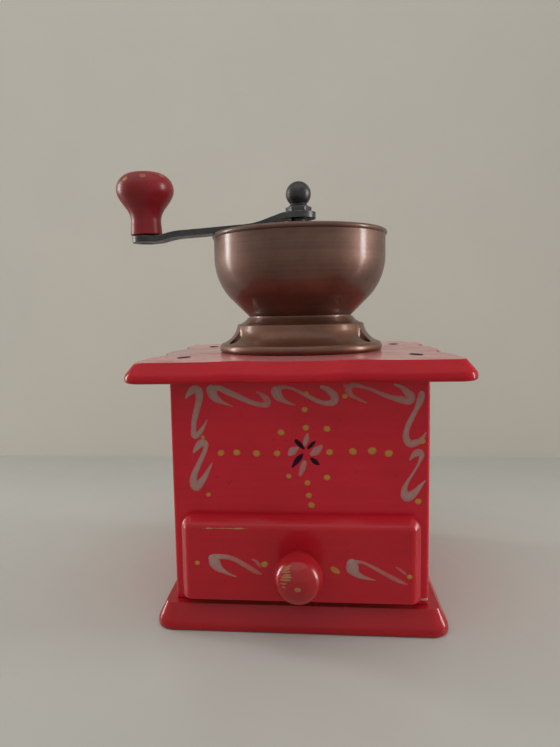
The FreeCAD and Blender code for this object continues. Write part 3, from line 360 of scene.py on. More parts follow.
@dataclass(frozen=True)
class WornSteel:
    """Plain steel, scratched and lightly browned."""

    name: str
    pale: Colour = (0.46, 0.45, 0.43, 1.0)
    dull: Colour = (0.23, 0.215, 0.20, 1.0)
    rust: Colour = (0.17, 0.085, 0.040, 1.0)

    def make(self) -> Finish:
        """Build the material."""
        graph = NodeGraph(self.name)
        scratch = graph.noise(1.0, 3.0, 0.7, graph.stretched((120.0, 1500.0, 1500.0)))
        metal = graph.mix(graph.remap(scratch, 0.3, 0.7), self.dull, self.pale)
        spots = graph.remap(graph.noise(95.0, 6.0, 0.68), 0.56, 0.70, 0.0, 0.7)
        metal = graph.mix(spots, metal, self.rust)
        polish = graph.remap(scratch, 0.3, 0.7, 0.26, 0.40)
        rough = graph.calc("ADD", polish, graph.calc("MULTIPLY", spots, 0.3))
        return graph.finish({
            "Base Color": metal, "Roughness": rough, "Metallic": 1.0,
            "Normal": graph.bump(scratch, 0.2, 0.03),
        })


@dataclass(frozen=True)
class BareWood:
    """Plain unpainted softwood with its grain along one axis."""

    name: str
    along: Triple = (5.0, 60.0, 60.0)
    pale: Colour = (0.50, 0.335, 0.175, 1.0)
    dark: Colour = (0.335, 0.195, 0.085, 1.0)
    coffee: Colour = (0.13, 0.070, 0.035, 1.0)

    def make(self) -> Finish:
        """Build the material."""
        graph = NodeGraph(self.name)
        flow = graph.noise(1.0, 3.0, 0.5, graph.stretched(self.along))
        rings = graph.calc("SINE", graph.calc("MULTIPLY", flow, 60.0))
        pores = graph.noise(1.0, 2.0, 0.6, graph.stretched(tuple(size * 14.0 for size in self.along)))
        bands = graph.remap(rings, -1.0, 1.0, 0.0, 0.55)
        grain = graph.calc("ADD", bands, graph.remap(pores, 0.3, 0.7, 0.0, 0.45))
        wood = graph.mix(grain, self.pale, self.dark)
        spills = graph.remap(graph.noise(28.0, 5.0, 0.6), 0.5, 0.72, 0.0, 0.5)
        wood = graph.mix(spills, wood, self.coffee)
        normal = graph.bump(pores, 0.3, 0.12)
        rough = graph.remap(grain, 0.0, 1.0, 0.52, 0.72)
        return graph.finish({"Base Color": wood, "Roughness": rough, "Normal": normal})


@dataclass(frozen=True)
class BrushPaint:
    """Thin oil colour laid on with a round brush: it lets the red through where it is dry."""

    name: str
    full: Colour
    thin: Colour
    shine: float = 0.3

    def make(self) -> Finish:
        """Build the material."""
        graph = NodeGraph(self.name)
        hairs = graph.noise(520.0, 3.0, 0.65)
        load = graph.calc("ADD", graph.attribute(LOAD), graph.remap(hairs, 0.3, 0.7, -0.22, 0.22))
        colour = graph.mix(graph.remap(load, 0.0, 1.0), self.thin, self.full)
        cloud = graph.remap(graph.noise(90.0, 3.0), 0.3, 0.7, 0.46, 0.62)
        return graph.finish({
            "Base Color": colour, "Roughness": cloud, "Normal": graph.bump(hairs, 0.25, 0.05),
            "Specular IOR Level": self.shine,
        })


@dataclass(frozen=True)
class StageSurface:
    """A plain pale surface of the setting, with a faint mottle."""

    name: str
    colour: Colour
    shade: Colour
    rough: float
    one_sided: bool = False

    def make(self) -> Finish:
        """Build the material."""
        graph = NodeGraph(self.name)
        mottle = graph.remap(graph.noise(5.0, 5.0, 0.6), 0.3, 0.7)
        rough = graph.remap(graph.noise(22.0, 3.0), 0.3, 0.7, self.rough, self.rough + 0.1)
        return graph.finish({
            "Base Color": graph.mix(mottle, self.shade, self.colour), "Roughness": rough,
            "Normal": graph.bump(graph.noise(140.0, 3.0), 0.05, 0.2),
        }, self.one_sided)


class Paints:
    """Every finish of the mill, built once."""

    def __init__(self) -> None:
        """Build the materials."""
        board, board_deep = (0.49, 0.0115, 0.0225, 1.0), (0.39, 0.0080, 0.0165, 1.0)
        dry = (0.42, 0.080, 0.080, 1.0)
        self.front = Enamel(
            "front_enamel", rubs=(Rub((66.2, -67.8, 16.3), (2.9, 1.2, 0.9)),), wood=GREY_WOOD
        ).make()
        self.sides = Enamel("side_enamel", lines=(260.0, 260.0, 8.0)).make()
        self.base = Enamel(
            "base_enamel", colour=(0.40, 0.0110, 0.0180, 1.0), deep=(0.32, 0.0078, 0.0135, 1.0)
        ).make()
        self.top = Enamel(
            "top_enamel", rubs=(Rub((-80.0, -80.0, 145.0), (6.0, 3.0, 1.2)),),
            colour=board, deep=board_deep, shine=0.15,
        ).make()
        self.top_face = Enamel(
            "top_face_enamel", colour=board, deep=board_deep, gloss=0.10, shine=0.5, relief=0.35, dust=0.10
        ).make()
        self.drawer = Enamel(
            "drawer_enamel",
            rubs=(
                Rub((-46.5, -77.4, 57.1), (2.6, 1.0, 0.40)),
                Rub((-32.0, -77.4, 57.2), (3.0, 1.0, 0.45)),
                Rub((-38.5, -77.4, 57.2), (12.0, 0.9, 0.20)),
            ),
            colour=(0.49, 0.0120, 0.0225, 1.0), deep=(0.385, 0.0083, 0.0160, 1.0), wear=0.3,
        ).make()
        self.knob = Enamel(
            "knob_enamel", lines=(20.0, 20.0, 420.0),
            colour=(0.235, 0.0150, 0.0190, 1.0), deep=(0.175, 0.0102, 0.0132, 1.0), gloss=0.26,
        ).make()
        self.pull = Enamel(
            "pull_enamel", lines=(20.0, 420.0, 20.0),
            colour=(0.37, 0.0130, 0.0180, 1.0), deep=(0.29, 0.0092, 0.0128, 1.0), gloss=0.14, shine=0.34,
        ).make()
        # The red low on the bowl and the collar is a painted reflection of the red top board, not a patina
        self.bowl = AgedCopper("bowl_copper", 166.0, 205.0).make()
        self.collar = AgedCopper(
            "collar_copper", 130.0, 175.0,
            bright=(0.178, 0.076, 0.041, 1.0), brown=(0.106, 0.044, 0.023, 1.0),
            painted_red_reflection=(0.155, 0.056, 0.030, 1.0), stain=(0.058, 0.025, 0.016, 1.0),
        ).make()
        self.iron = BlackIron("black_iron_skin").make()
        self.steel = WornSteel("worn_steel").make()
        self.plain_x = BareWood("bare_wood_across").make()
        self.plain_y = BareWood("bare_wood_deep", along=(60.0, 5.0, 60.0)).make()
        self.plain_z = BareWood("bare_wood_tall", along=(60.0, 60.0, 5.0)).make()
        self.taupe = BrushPaint("taupe_strokes", (0.345, 0.250, 0.218, 1.0), dry).make()
        self.petal = BrushPaint("petal_strokes", (0.390, 0.200, 0.188, 1.0), dry).make()
        self.black = BrushPaint(
            "black_strokes", (0.011, 0.009, 0.019, 1.0), (0.05, 0.006, 0.012, 1.0), 0.05
        ).make()
        self.worn = BrushPaint("worn_mustard", (0.33, 0.195, 0.075, 1.0), (0.33, 0.030, 0.026, 1.0)).make()
        self.mustard = BrushPaint(
            "mustard_dots", (0.430, 0.232, 0.036, 1.0), (0.45, 0.055, 0.026, 1.0)
        ).make()


def new_object(name: str, shape: Shape, crease: float = 30.0) -> Piece:
    """Turn a bmesh into a smooth-shaded object at the origin.

    Args:
        name: The name of the piece.
        shape: The bmesh, freed here.
        crease: Edges bent by more degrees than this stay sharp.

    Returns:
        The object, linked to the scene.
    """
    mesh = bpy.data.meshes.new(name)
    shape.to_mesh(mesh)
    shape.free()
    mesh.shade_smooth()
    mesh.set_sharp_from_angle(angle=math.radians(crease))
    piece = bpy.data.objects.new(name, mesh)
    bpy.context.scene.collection.objects.link(piece)
    return piece


def settle(
    piece: Piece, finishes: Iterable[Finish], body: Body, nodes: Sequence[str] = ()
) -> None:
    """Dress a piece, let it ride on its body and hide the solids that it stands for.

    Args:
        piece: The piece.
        finishes: Its materials.
        body: The body that carries it.
        nodes: The solids that it replaces.
    """
    for finish in finishes:
        piece.data.materials.append(finish)
    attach(piece, body.value)
    if nodes:
        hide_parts(*nodes)
    log.info("%s rides on %s", piece.name, body.value)


def soften(shape: Shape, edges: list[Edge], offset: float, steps: int, clamp: bool = False) -> list[Facet]:
    """Round over some edges.

    Args:
        shape: The bmesh, changed in place.
        edges: The edges.
        offset: How far the rounding reaches from each edge.
        steps: The number of facets across it.
        clamp: Whether roundings that would meet are held back.

    Returns:
        The new facets.
    """
    return bmesh.ops.bevel(
        shape, geom=edges, offset=offset * MM, offset_type="OFFSET", affect="EDGES",
        segments=steps, profile=0.5, material=-1, clamp_overlap=clamp,
    )["faces"]


def edges_among(shape: Shape, corners: Collection[Corner]) -> list[Edge]:
    """The edges whose two ends both lie among some corners."""
    return [part for part in shape.edges if part.verts[0] in corners and part.verts[1] in corners]


@dataclass(frozen=True)
class Arc:
    """An arc on a profile: where it ends, its own radius, the side of its centre and its facets."""

    radius: float
    height: float
    bend: float
    side: Bend = Bend.LEFT
    steps: int = 10


Profile = tuple[Pair | Arc, ...]


class Lathe:
    """A pen that draws half a profile above a base and turns it about an upright axis."""

    weld = 1e-6

    def __init__(self, radius: float, base: float, height: float = 0.0) -> None:
        """Set the pen down.

        Args:
            radius: Distance from the axis.
            base: The level from which the heights of the profile count.
            height: Height of the start above the base.
        """
        self.base = base
        self.shape = bmesh.new()
        self.tip = self.shape.verts.new((radius * MM, 0.0, (base + height) * MM))

    def line(self, radius: float, height: float) -> None:
        """Draw a straight line to a place."""
        made = bmesh.ops.extrude_vert_indiv(self.shape, verts=[self.tip])
        self.tip = made["verts"][0]
        self.tip.co = (radius * MM, 0.0, (self.base + height) * MM)

    def bow(self, arc: Arc) -> None:
        """Draw an arc.

        Args:
            arc: The arc, from where the pen stands.
        """
        start = Vector((self.tip.co.x, self.tip.co.z))
        end = Vector((arc.radius, self.base + arc.height)) * MM
        chord = end - start
        half, bend = chord.length / 2, arc.bend * MM
        reach = math.sqrt(max(bend**2 - half**2, 0.0))
        normal = Vector((-chord.y, chord.x)).normalized()
        centre = (start + end) / 2 + normal * reach * arc.side.value
        sweep = 2 * math.asin(min(half / bend, 1.0))
        made = bmesh.ops.spin(
            self.shape, geom=[self.tip], cent=(centre.x, 0.0, centre.y), axis=(0.0, -1.0, 0.0),
            angle=sweep * arc.side.value, steps=arc.steps,
        )
        self.tip = next(part for part in made["geom_last"] if isinstance(part, Corner))

    def follow(self, profile: Profile) -> "Lathe":
        """Draw a line or an arc to each place of a profile.

        Args:
            profile: Places as (radius, height), and arcs.

        Returns:
            The pen.
        """
        for place in profile:
            if isinstance(place, Arc):
                self.bow(place)
            else:
                self.line(*place)
        return self

    def turn(self, steps: int = 112) -> Shape:
        """Spin the profile into a closed skin about the axis.

        Args:
            steps: The number of facets round the axis.

        Returns:
            The bmesh of the turned piece.
        """
        shape = self.shape
        bmesh.ops.spin(
            shape, geom=shape.verts[:] + shape.edges[:], cent=(0.0, 0.0, 0.0), axis=(0.0, 0.0, 1.0),
            angle=math.tau, steps=steps, use_merge=True,
        )
        bmesh.ops.remove_doubles(shape, verts=shape.verts[:], dist=self.weld)
        bmesh.ops.recalc_face_normals(shape, faces=shape.faces[:])
        return shape


@dataclass
class SoftCopy:
    """A copy of one solid with merged faces and softened edges."""

    node: str
    body: Body
    slot: Slot
    edge: float = 0.0
    steps: int = 2
    crease: float = 32.0
    corner: float = 0.0
    corner_steps: int = 6
    corner_reach: float = 0.1
    weld: float = 2e-6
    flat: float = 0.4

    def build(self, finishes: Sequence[Finish], choose: Callable[[Facet], int] | None = None) -> None:
        """Make the piece and dress it.

        Args:
            finishes: The materials of the piece.
            choose: Gives the number of the material for a face.
        """
        shape = bmesh.new()
        shape.from_mesh(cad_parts[self.node].data)
        bmesh.ops.remove_doubles(shape, verts=shape.verts[:], dist=self.weld)
        bmesh.ops.dissolve_limit(
            shape, angle_limit=math.radians(self.flat), verts=shape.verts[:], edges=shape.edges[:]
        )
        worn = shape.faces.layers.float.new(WEAR)
        for face in shape.faces:
            face.material_index = choose(face) if choose else 0
        if self.corner:
            soften(shape, self.front_corners(shape), self.corner, self.corner_steps)
        if self.edge:
            sharp = [
                part for part in shape.edges
                if part.is_manifold and part.calc_face_angle(0.0) > math.radians(self.crease)
            ]
            for face in soften(shape, sharp, self.edge, self.steps, clamp=True):
                face[worn] = 1.0
        piece = new_object("dressed_" + self.node, shape, self.crease)
        piece.modifiers.new("even_shading", "WEIGHTED_NORMAL").keep_sharp = True
        settle(piece, finishes, self.body, [self.node])

    def front_corners(self, shape: Shape) -> list[Edge]:
        """The upright edges where the front meets the sides.

        Args:
            shape: The merged copy.

        Returns:
            The outermost upright edges of the front.
        """
        widest = max(vert.co.x for vert in shape.verts) - self.corner_reach * MM
        front = min(vert.co.y for vert in shape.verts) + self.corner_reach * MM
        return [
            part for part in shape.edges
            if all(abs(vert.co.x) > widest and vert.co.y < front for vert in part.verts)
        ]


@dataclass
class Casework:
    """The box: base, walls, front panel and the scalloped top board."""

    paints: Paints
    half: float = 68.0
    wall: float = 8.0
    wall_gap: float = 0.1
    edge: float = 0.7
    front_corner: float = 2.6

    def build(self) -> None:
        """Build and dress every board."""
        paints = self.paints
        SoftCopy("base_board", Body.MILL, Slot.RED_PAINT, self.edge, crease=40.0).build(
            [paints.base, paints.plain_x], lambda face: int(face.normal.z < -FACING)
        )
        SoftCopy("top_board", Body.MILL, Slot.RED_PAINT, self.edge, crease=35.0).build(
            [paints.top, paints.top_face], lambda face: int(face.normal.z > LEVEL)
        )
        SoftCopy("front_panel", Body.MILL, Slot.RED_PAINT, self.edge, corner=self.front_corner).build(
            [paints.front, paints.plain_x], lambda face: int(face.normal.y > FACING)
        )
        SoftCopy("back_wall", Body.MILL, Slot.RED_PAINT, self.edge).build(
            [paints.front, paints.plain_x], lambda face: int(face.normal.y < -FACING)
        )
        inner = self.half - self.wall + self.wall_gap
        for node, side in (("left_wall", -1), ("right_wall", 1)):
            SoftCopy(node, Body.MILL, Slot.RED_PAINT).build(
                [paints.sides, paints.plain_y],
                lambda face, side=side: int(face.calc_center_median().x * side < inner * MM),
            )
        SoftCopy("base_screws", Body.MILL, Slot.STEEL).build([paints.steel])
        SoftCopy("top_dowels", Body.MILL, Slot.BARE_WOOD).build([paints.plain_z])


@dataclass
class DrawerBox:
    """The drawer: the painted front with its turned pull, and the bare tray behind it."""

    paints: Paints
    face: float = -77.8
    height: float = 38.2
    edge: float = 0.6
    tray_edge: float = 0.3
    ball: float = 12.4
    middle: float = 15.5
    foot: float = 8.2
    foot_height: float = 1.5
    foot_round: float = 0.4
    neck: float = 6.6
    cap: float = 3.0
    cap_radius: float = 9.0

    def build(self) -> None:
        """Build and dress the drawer."""
        paints = self.paints
        SoftCopy("drawer_front", Body.DRAWER, Slot.RED_PAINT, self.edge, crease=40.0).build(
            [paints.drawer, paints.plain_x], lambda face: int(face.normal.y > FACING)
        )
        for node in ("drawer_left_side", "drawer_right_side", "drawer_floor_board"):
            SoftCopy(node, Body.DRAWER, Slot.BARE_WOOD, self.tray_edge).build([paints.plain_y])
        SoftCopy("drawer_back", Body.DRAWER, Slot.BARE_WOOD, self.tray_edge).build([paints.plain_x])
        SoftCopy("drawer_knob_screw", Body.DRAWER, Slot.STEEL).build([paints.steel])
        self.build_pull()

    def build_pull(self) -> None:
        """Turn the ball pull and lay it down to face the front."""
        neck_height = self.middle - math.sqrt(self.ball**2 - self.neck**2)
        cap_foot = self.middle + math.sqrt(self.ball**2 - self.cap_radius**2)
        dome = (self.cap_radius**2 + self.cap**2) / (2 * self.cap)
        shape = Lathe(0.0, 0.0).follow((
            (self.foot - self.foot_round, 0.0), Arc(self.foot, self.foot_round, self.foot_round, steps=4),
            (self.foot, self.foot_height), (self.neck, neck_height),
            Arc(self.ball, self.middle, self.ball, steps=20),
            Arc(self.cap_radius, cap_foot, self.ball, steps=16),
            Arc(0.0, cap_foot + self.cap, dome, steps=16),
        )).turn(steps=96)
        place = Matrix.Translation((0.0, self.face * MM, self.height * MM)) @ UPRIGHT
        bmesh.ops.transform(shape, matrix=place, verts=shape.verts[:])
        piece = new_object("dressed_drawer_knob", shape, crease=40.0)
        settle(piece, [self.paints.pull], Body.DRAWER, ["drawer_knob"])


@dataclass
class Hopper:
    """The copper hopper: the cast collar with its screw pockets and the spun bowl."""

    paints: Paints
    top: float = 145.0
    seam: float = 165.9
    radius: float = 52.4
    curve: float = 36.0
    wall_start: float = 36.4
    bowl_height: float = 49.5
    sheet: float = 1.2
    bead: float = 1.6
    neck: float = 31.7
    land: float = 0.8
    spigot: float = 29.4
    spigot_drop: float = 17.9
    collar_bore: float = 36.5
    collar_profile: Profile = (
        (49.3, 0.0), Arc(48.9, 5.2, 3.4, steps=12),  # bead
        Arc(39.9, 13.5, 14.0, Bend.RIGHT, 16),  # hollow curve
        (39.2, 16.0), Arc(37.7, 17.1, 1.6, steps=8),  # step
        Arc(32.6, 20.9, 8.0, Bend.RIGHT, 12), (29.45, 20.9),  # lip
        (29.45, 16.0), (36.5, 11.0), (36.5, 0.0),  # inside
    )
    pocket_circle: float = 43.4
    pocket: float = 4.1
    pocket_span: Pair = (2.5, 30.0)
    screw_hole: float = 1.75
    hole_span: Pair = (-1.0, 5.0)
    pocket_angles: Triple = (-150.0, -30.0, 90.0)
    screw_edge: float = 0.2
    crease: float = 42.0

    def build(self) -> None:
        """Build and dress the hopper."""
        self.build_bowl()
        self.build_collar()
        SoftCopy("collar_screws", Body.MILL, Slot.STEEL, self.screw_edge).build([self.paints.iron])

    def build_bowl(self) -> None:
        """Turn the bowl: spigot, neck, belly, wall, rolled rim and the inside."""
        foot = self.seam - self.spigot_drop
        rim = self.seam + self.bowl_height
        wall = self.seam + self.wall_start
        inside = self.radius - self.sheet
        centre = self.radius - self.curve
        lean = self.curve * math.cos(math.pi / 4)
        inner = (self.curve - self.sheet) * math.cos(math.pi / 4)
        bore = self.spigot - self.sheet
        ledge = self.seam + self.sheet
        tuck = math.sqrt(self.bead**2 - (self.sheet / 2) ** 2)
        middle = self.radius - self.sheet / 2
        shape = Lathe(bore, 0.0, foot).follow((
            (self.spigot, foot), (self.spigot, self.seam), (self.neck, self.seam),
            (self.neck, self.seam + self.land), (centre + lean, wall - lean),
            Arc(self.radius, wall, self.curve, steps=28), (self.radius, rim - tuck),
            Arc(middle + self.bead, rim, self.bead, steps=6),
            Arc(middle - self.bead, rim, self.bead, steps=14),
            Arc(inside, rim - tuck, self.bead, steps=6), (inside, wall),
            Arc(centre + inner, wall - inner, self.curve - self.sheet, Bend.RIGHT, 28),
            (centre + 2 * inner - wall + ledge, ledge), (bore, ledge), (bore, foot),
        )).turn(steps=160)
        piece = new_object("dressed_hopper_bowl", shape, self.crease)
        settle(piece, [self.paints.bowl], Body.MILL, ["hopper_bowl"])

    def build_collar(self) -> None:
        """Turn the collar and cut the three screw pockets and their holes."""
        shape = Lathe(self.collar_bore, self.top).follow(self.collar_profile).turn(steps=160)
        piece = new_object("dressed_hopper_collar", shape, self.crease)
        cutter = bmesh.new()
        for angle in self.pocket_angles:
            place = Matrix.Rotation(math.radians(angle), 4, "Z")
            for radius, (low, high) in ((self.pocket, self.pocket_span), (self.screw_hole, self.hole_span)):
                at = Vector((self.pocket_circle, 0.0, self.top + (low + high) / 2)) * MM
                bmesh.ops.create_cone(
                    cutter, cap_ends=True, segments=48, radius1=radius * MM, radius2=radius * MM,
                    depth=(high - low) * MM, matrix=place @ Matrix.Translation(at),
                )
        carve(piece, cutter, self.crease)
        settle(piece, [self.paints.collar], Body.MILL, ["hopper_collar"])


def carve(piece: Piece, cutter: Shape, crease: float) -> None:
    """Cut one shape out of a piece for good.

    Args:
        piece: The piece, changed in place.
        cutter: The shape to take away, freed here.
        crease: Edges bent by more degrees than this stay sharp.
    """
    tool = new_object("cutting_shape", cutter)
    cut = piece.modifiers.new("cut", "BOOLEAN")
    cut.operation = "DIFFERENCE"
    cut.solver = "EXACT"
    cut.use_self = True
    cut.object = tool
    bpy.context.view_layer.update()
    evaluated = piece.evaluated_get(bpy.context.evaluated_depsgraph_get())
    mesh = bpy.data.meshes.new_from_object(evaluated)
    piece.modifiers.clear()
    uncut, spent = piece.data, tool.data
    piece.data = mesh
    bpy.data.meshes.remove(uncut)
    mesh.name = piece.name
    mesh.shade_smooth()
    mesh.set_sharp_from_angle(angle=math.radians(crease))
    bpy.data.objects.remove(tool)
    bpy.data.meshes.remove(spent)


@dataclass
class GrindWork:
    """The burrs, the spindle and its bearings, and the screws that hold them."""

    paints: Paints
    dark_above: float = 205.0

    def finish_of(self, face: Facet) -> int:
        """The number of the finish: 1, the black iron, for what lies close under the hub."""
        return int(max(vert.co.z for vert in face.verts) > self.dark_above * MM)

    def build(self) -> None:
        """Build and dress the grinding parts."""
        iron, steel = self.paints.iron, self.paints.steel
        plan = (
            ("burr_ring", Body.MILL, Slot.BLACK_IRON, 0.0, iron),
            ("inner_burr", Body.SPINDLE, Slot.BLACK_IRON, 0.0, steel),
            ("bridge", Body.MILL, Slot.BLACK_IRON, 0.4, iron),
            ("lower_strap", Body.MILL, Slot.BLACK_IRON, 0.4, iron),
            ("burr_screws", Body.MILL, Slot.STEEL, 0.0, steel),
            ("lower_strap_screws", Body.MILL, Slot.STEEL, 0.0, steel),
            ("spindle", Body.SPINDLE, Slot.STEEL, 0.15, steel),
            ("thrust_washer", Body.WASHER, Slot.STEEL, 0.15, steel),
            ("setting_nut", Body.SETTING, Slot.STEEL, 0.3, steel),
        )
        for node, body, slot, edge, finish in plan:
            SoftCopy(node, body, slot, edge).build([finish, iron], self.finish_of)


@dataclass
class Crank:
    """The crank: the bent iron arm, the ball nut, and the turned knob on its pin."""

    paints: Paints
    reach: float = 96.0
    hub_top: float = 229.4
    knob_foot: float = 218.8
    edge: float = 0.9
    washer_edge: float = 0.1
    pin_edge: float = 0.2
    hexagon: float = 8.08
    hexagon_height: float = 3.4
    hexagon_edge: float = 0.4
    ball_profile: Profile = (
        (6.6, 1.7), (6.6, 3.4), (4.9, 5.1), (4.9, 5.26),  # seat and neck
        Arc(7.7, 11.2, 7.7, steps=18), Arc(0.0, 18.9, 7.7, steps=22),  # ball
    )
    knob_bore: float = 3.05
    knob_profile: Profile = (
        (9.45, 0.0), Arc(9.85, 0.6, 0.6, steps=5), (9.3, 9.0),  # foot and neck
        Arc(12.6, 17.2, 15.0, Bend.RIGHT, 14), Arc(16.9, 23.6, 40.0, steps=8),  # flare
        Arc(17.3, 31.2, 9.3, steps=18), Arc(11.6, 37.15, 10.8, steps=14),  # widest part and shoulder
        Arc(5.3, 38.04, 18.0, steps=8), (5.3, 35.0),  # crown and the dish for the pin head
        (3.05, 35.0), (3.05, 0.0),  # bore
    )

    def build(self) -> None:
        """Build and dress the crank."""
        iron = self.paints.iron
        arm = SoftCopy("crank_arm", Body.SPINDLE, Slot.BLACK_IRON, self.edge, steps=3, crease=40.0)
        arm.build([iron])
        SoftCopy("knob_washer", Body.SPINDLE, Slot.STEEL, self.washer_edge).build([iron])
        SoftCopy("handle_pin", Body.SPINDLE, Slot.STEEL, self.pin_edge).build([iron])
        self.build_ball_nut()
        self.build_knob()

    def build_ball_nut(self) -> None:
        """Make the hexagon with its chamfer and turn the neck and ball on top."""
        half = self.hexagon_height / 2
        shape = Lathe(0.0, self.hub_top, half).follow(self.ball_profile).turn(steps=72)
        place = Matrix.Translation((0.0, 0.0, (self.hub_top + half) * MM))
        made = bmesh.ops.create_cone(
            shape, cap_ends=True, segments=6, radius1=self.hexagon * MM, radius2=self.hexagon * MM,
            depth=self.hexagon_height * MM, matrix=place @ Matrix.Rotation(math.pi / 2, 4, "Z"),
        )
        worn = shape.faces.layers.float.new(WEAR)
        rims = edges_among(shape, set(made["verts"]))
        for face in soften(shape, rims, self.hexagon_edge, steps=2):
            face[worn] = 1.0
        piece = new_object("dressed_ball_nut", shape, crease=38.0)
        settle(piece, [self.paints.iron], Body.SPINDLE, ["ball_nut"])

    def build_knob(self) -> None:
        """Turn the handle knob with the dish for the pin head."""
        shape = Lathe(self.knob_bore, self.knob_foot).follow(self.knob_profile).turn()
        bmesh.ops.translate(shape, verts=shape.verts[:], vec=(-self.reach * MM, 0.0, 0.0))
        piece = new_object("dressed_handle_knob", shape, crease=42.0)
        settle(piece, [self.paints.knob], Body.HANDLE, ["handle_knob"])


@dataclass(frozen=True)
class Stroke:
    """One brush stroke: stations of (across, up, half width) and the paint at its two ends."""

    stations: tuple[Triple, ...]
    start: float = 1.0
    end: float = 0.75


@dataclass
class Ornament:
    """Brush strokes and dots on one flat face."""

    name: str
    face: Face
    level: float
    body: Body
    relief: float = 0.055
    skin: float = 0.02
    bulk: float = 1.08
    finest: float = 0.14
    blunt: float = 0.5
    thin_edge: float = 0.45
    cap_angles: Triple = (80.0, 50.0, 25.0)
    points: int = 5
    dot_lean: float = 0.4
    dot_turn: float = 1.9
    dot_shape: Triple = (0.94, 0.78, 0.09)
    dot_load: Triple = (0.62, 1.7, 2.2)

    def upright(self) -> Matrix:
        """The turn from the flat drawing to the face that carries it."""
        if self.face is Face.FRONT:
            return Matrix.Translation((0.0, self.level * MM, 0.0)) @ UPRIGHT
        return Matrix.Translation((0.0, 0.0, self.level * MM))

    def paint_strokes(self, label: str, strokes: Sequence[Stroke], finish: Finish) -> None:
        """Sweep every stroke and dress it.

        Args:
            label: What the strokes are.
            strokes: The strokes.
            finish: Their paint.
        """
        shape = bmesh.new()
        load = shape.verts.layers.float.new(LOAD)
        for stroke in strokes:
            self.sweep(shape, load, stroke)
        self.close(shape, label, finish)

    def smooth_line(self, stations: Sequence[Triple]) -> list[Vector]:
        """Lay a smooth line through the stations and round off its ends.

        Args:
            stations: Places and half widths, as (across, up, half width).

        Returns:
            Many stations along the line.
        """
        points = [Vector(station) for station in stations]
        line: list[Vector] = []
        for index in range(len(points) - 1):
            start, end = points[index], points[index + 1]
            before = points[max(index - 1, 0)]
            after = points[min(index + 2, len(points) - 1)]
            leave, arrive = start + (end - before) / 6, end - (after - start) / 6
            line += interpolate_bezier(start, leave, arrive, end, self.points)[:-1]
        line.append(points[-1])
        return self.round_end(self.round_end(line)[::-1])[::-1]

    def round_end(self, line: list[Vector]) -> list[Vector]:
        """Add a round cap ahead of the first station of a line, unless it is fine there.

        Args:
            line: The stations.

        Returns:
            The stations with those of the cap.
        """
        first, width = line[0], line[0].z
        if width < self.blunt:
            return line
        back = (line[0] - line[1]).to_2d().normalized()
        cap = []
        for angle in map(math.radians, self.cap_angles):
            reach = back * width * math.sin(angle)
            cap.append(Vector((first.x + reach.x, first.y + reach.y, width * math.cos(angle))))
        return cap + line

    def sweep(self, shape: Shape, load: Any, stroke: Stroke) -> None:
        """Extrude a flat ring from station to station.

        Args:
            shape: The bmesh that takes the stroke.
            load: The layer for the amount of paint.
            stroke: The stroke.
        """
        stations = self.smooth_line(stroke.stations)
        count = len(stations)
        spots = [Vector((across, up, 0.0)) * MM for across, up, _ in stations]
        ring: list[Corner] = []
        last = Matrix.Identity(4)
        for index, (spot, station) in enumerate(zip(spots, stations)):
            ahead = (spots[min(index + 1, count - 1)] - spots[max(index - 1, 0)]).normalized()
            side = Vector((-ahead.y, ahead.x, 0.0))
            width = max(station[2], self.finest) * self.bulk * MM
            proud = Vector((0.0, 0.0, width * self.relief + self.skin * MM))
            turn = Matrix((side * width, proud, ahead * width)).transposed()
            place = Matrix.Translation(spot) @ turn.to_4x4()
            if index == 0:
                made = bmesh.ops.create_circle(shape, cap_ends=True, segments=8, radius=1.0, matrix=place)
                ring = made["verts"]
            else:
                made = bmesh.ops.extrude_edge_only(shape, edges=edges_among(shape, ring))
                ring = [part for part in made["geom"] if isinstance(part, Corner)]
                bmesh.ops.transform(shape, matrix=place @ last.inverted(), verts=ring)
            last = place
            paint = stroke.start + (stroke.end - stroke.start) * index / (count - 1)
            for vert in ring:
                off = abs((vert.co - spot).dot(side)) / width
                vert[load] = paint - self.thin_edge * off**2
        bmesh.ops.contextual_create(shape, geom=edges_among(shape, ring))

    def paint_dots(self, label: str, dots: Sequence[Triple], finish: Finish) -> None:
        """Set down round dots of paint.

        Args:
            label: What the dots are.
            dots: Places and radii, as (across, up, radius).
            finish: Their paint.
        """
        shape = bmesh.new()
        load = shape.verts.layers.float.new(LOAD)
        middle, swell, fall = self.dot_load
        for index, (across, up, radius) in enumerate(dots):
            lean = Matrix.Rotation(self.dot_lean * math.sin(index * self.dot_turn), 4, "Z")
            oval = Matrix.Diagonal([radius * share * MM for share in self.dot_shape] + [1.0])
            place = Matrix.Translation((across * MM, up * MM, 0.0)) @ lean @ oval
            made = bmesh.ops.create_uvsphere(shape, u_segments=24, v_segments=12, radius=1.0, matrix=place)
            for vert in made["verts"]:
                off = (vert.co - place.translation).length / (radius * MM)
                vert[load] = middle + swell * off - fall * off**2
        self.close(shape, label, finish, levels=0)

    def close(self, shape: Shape, label: str, finish: Finish, levels: int = 1) -> None:
        """Stand the drawing on its face and make it a piece.

        Args:
            shape: The bmesh of the drawing.
            label: What it shows.
            finish: Its paint.
            levels: Smoothing steps.
        """
        bmesh.ops.recalc_face_normals(shape, faces=shape.faces[:])
        bmesh.ops.transform(shape, matrix=self.upright(), verts=shape.verts[:])
        piece = new_object(f"{self.name}_{label}", shape, PAINT_CREASE)
        if levels:
            smooth = piece.modifiers.new("smooth", "SUBSURF")
            smooth.levels = levels
            smooth.render_levels = levels
        settle(piece, [finish], self.body)


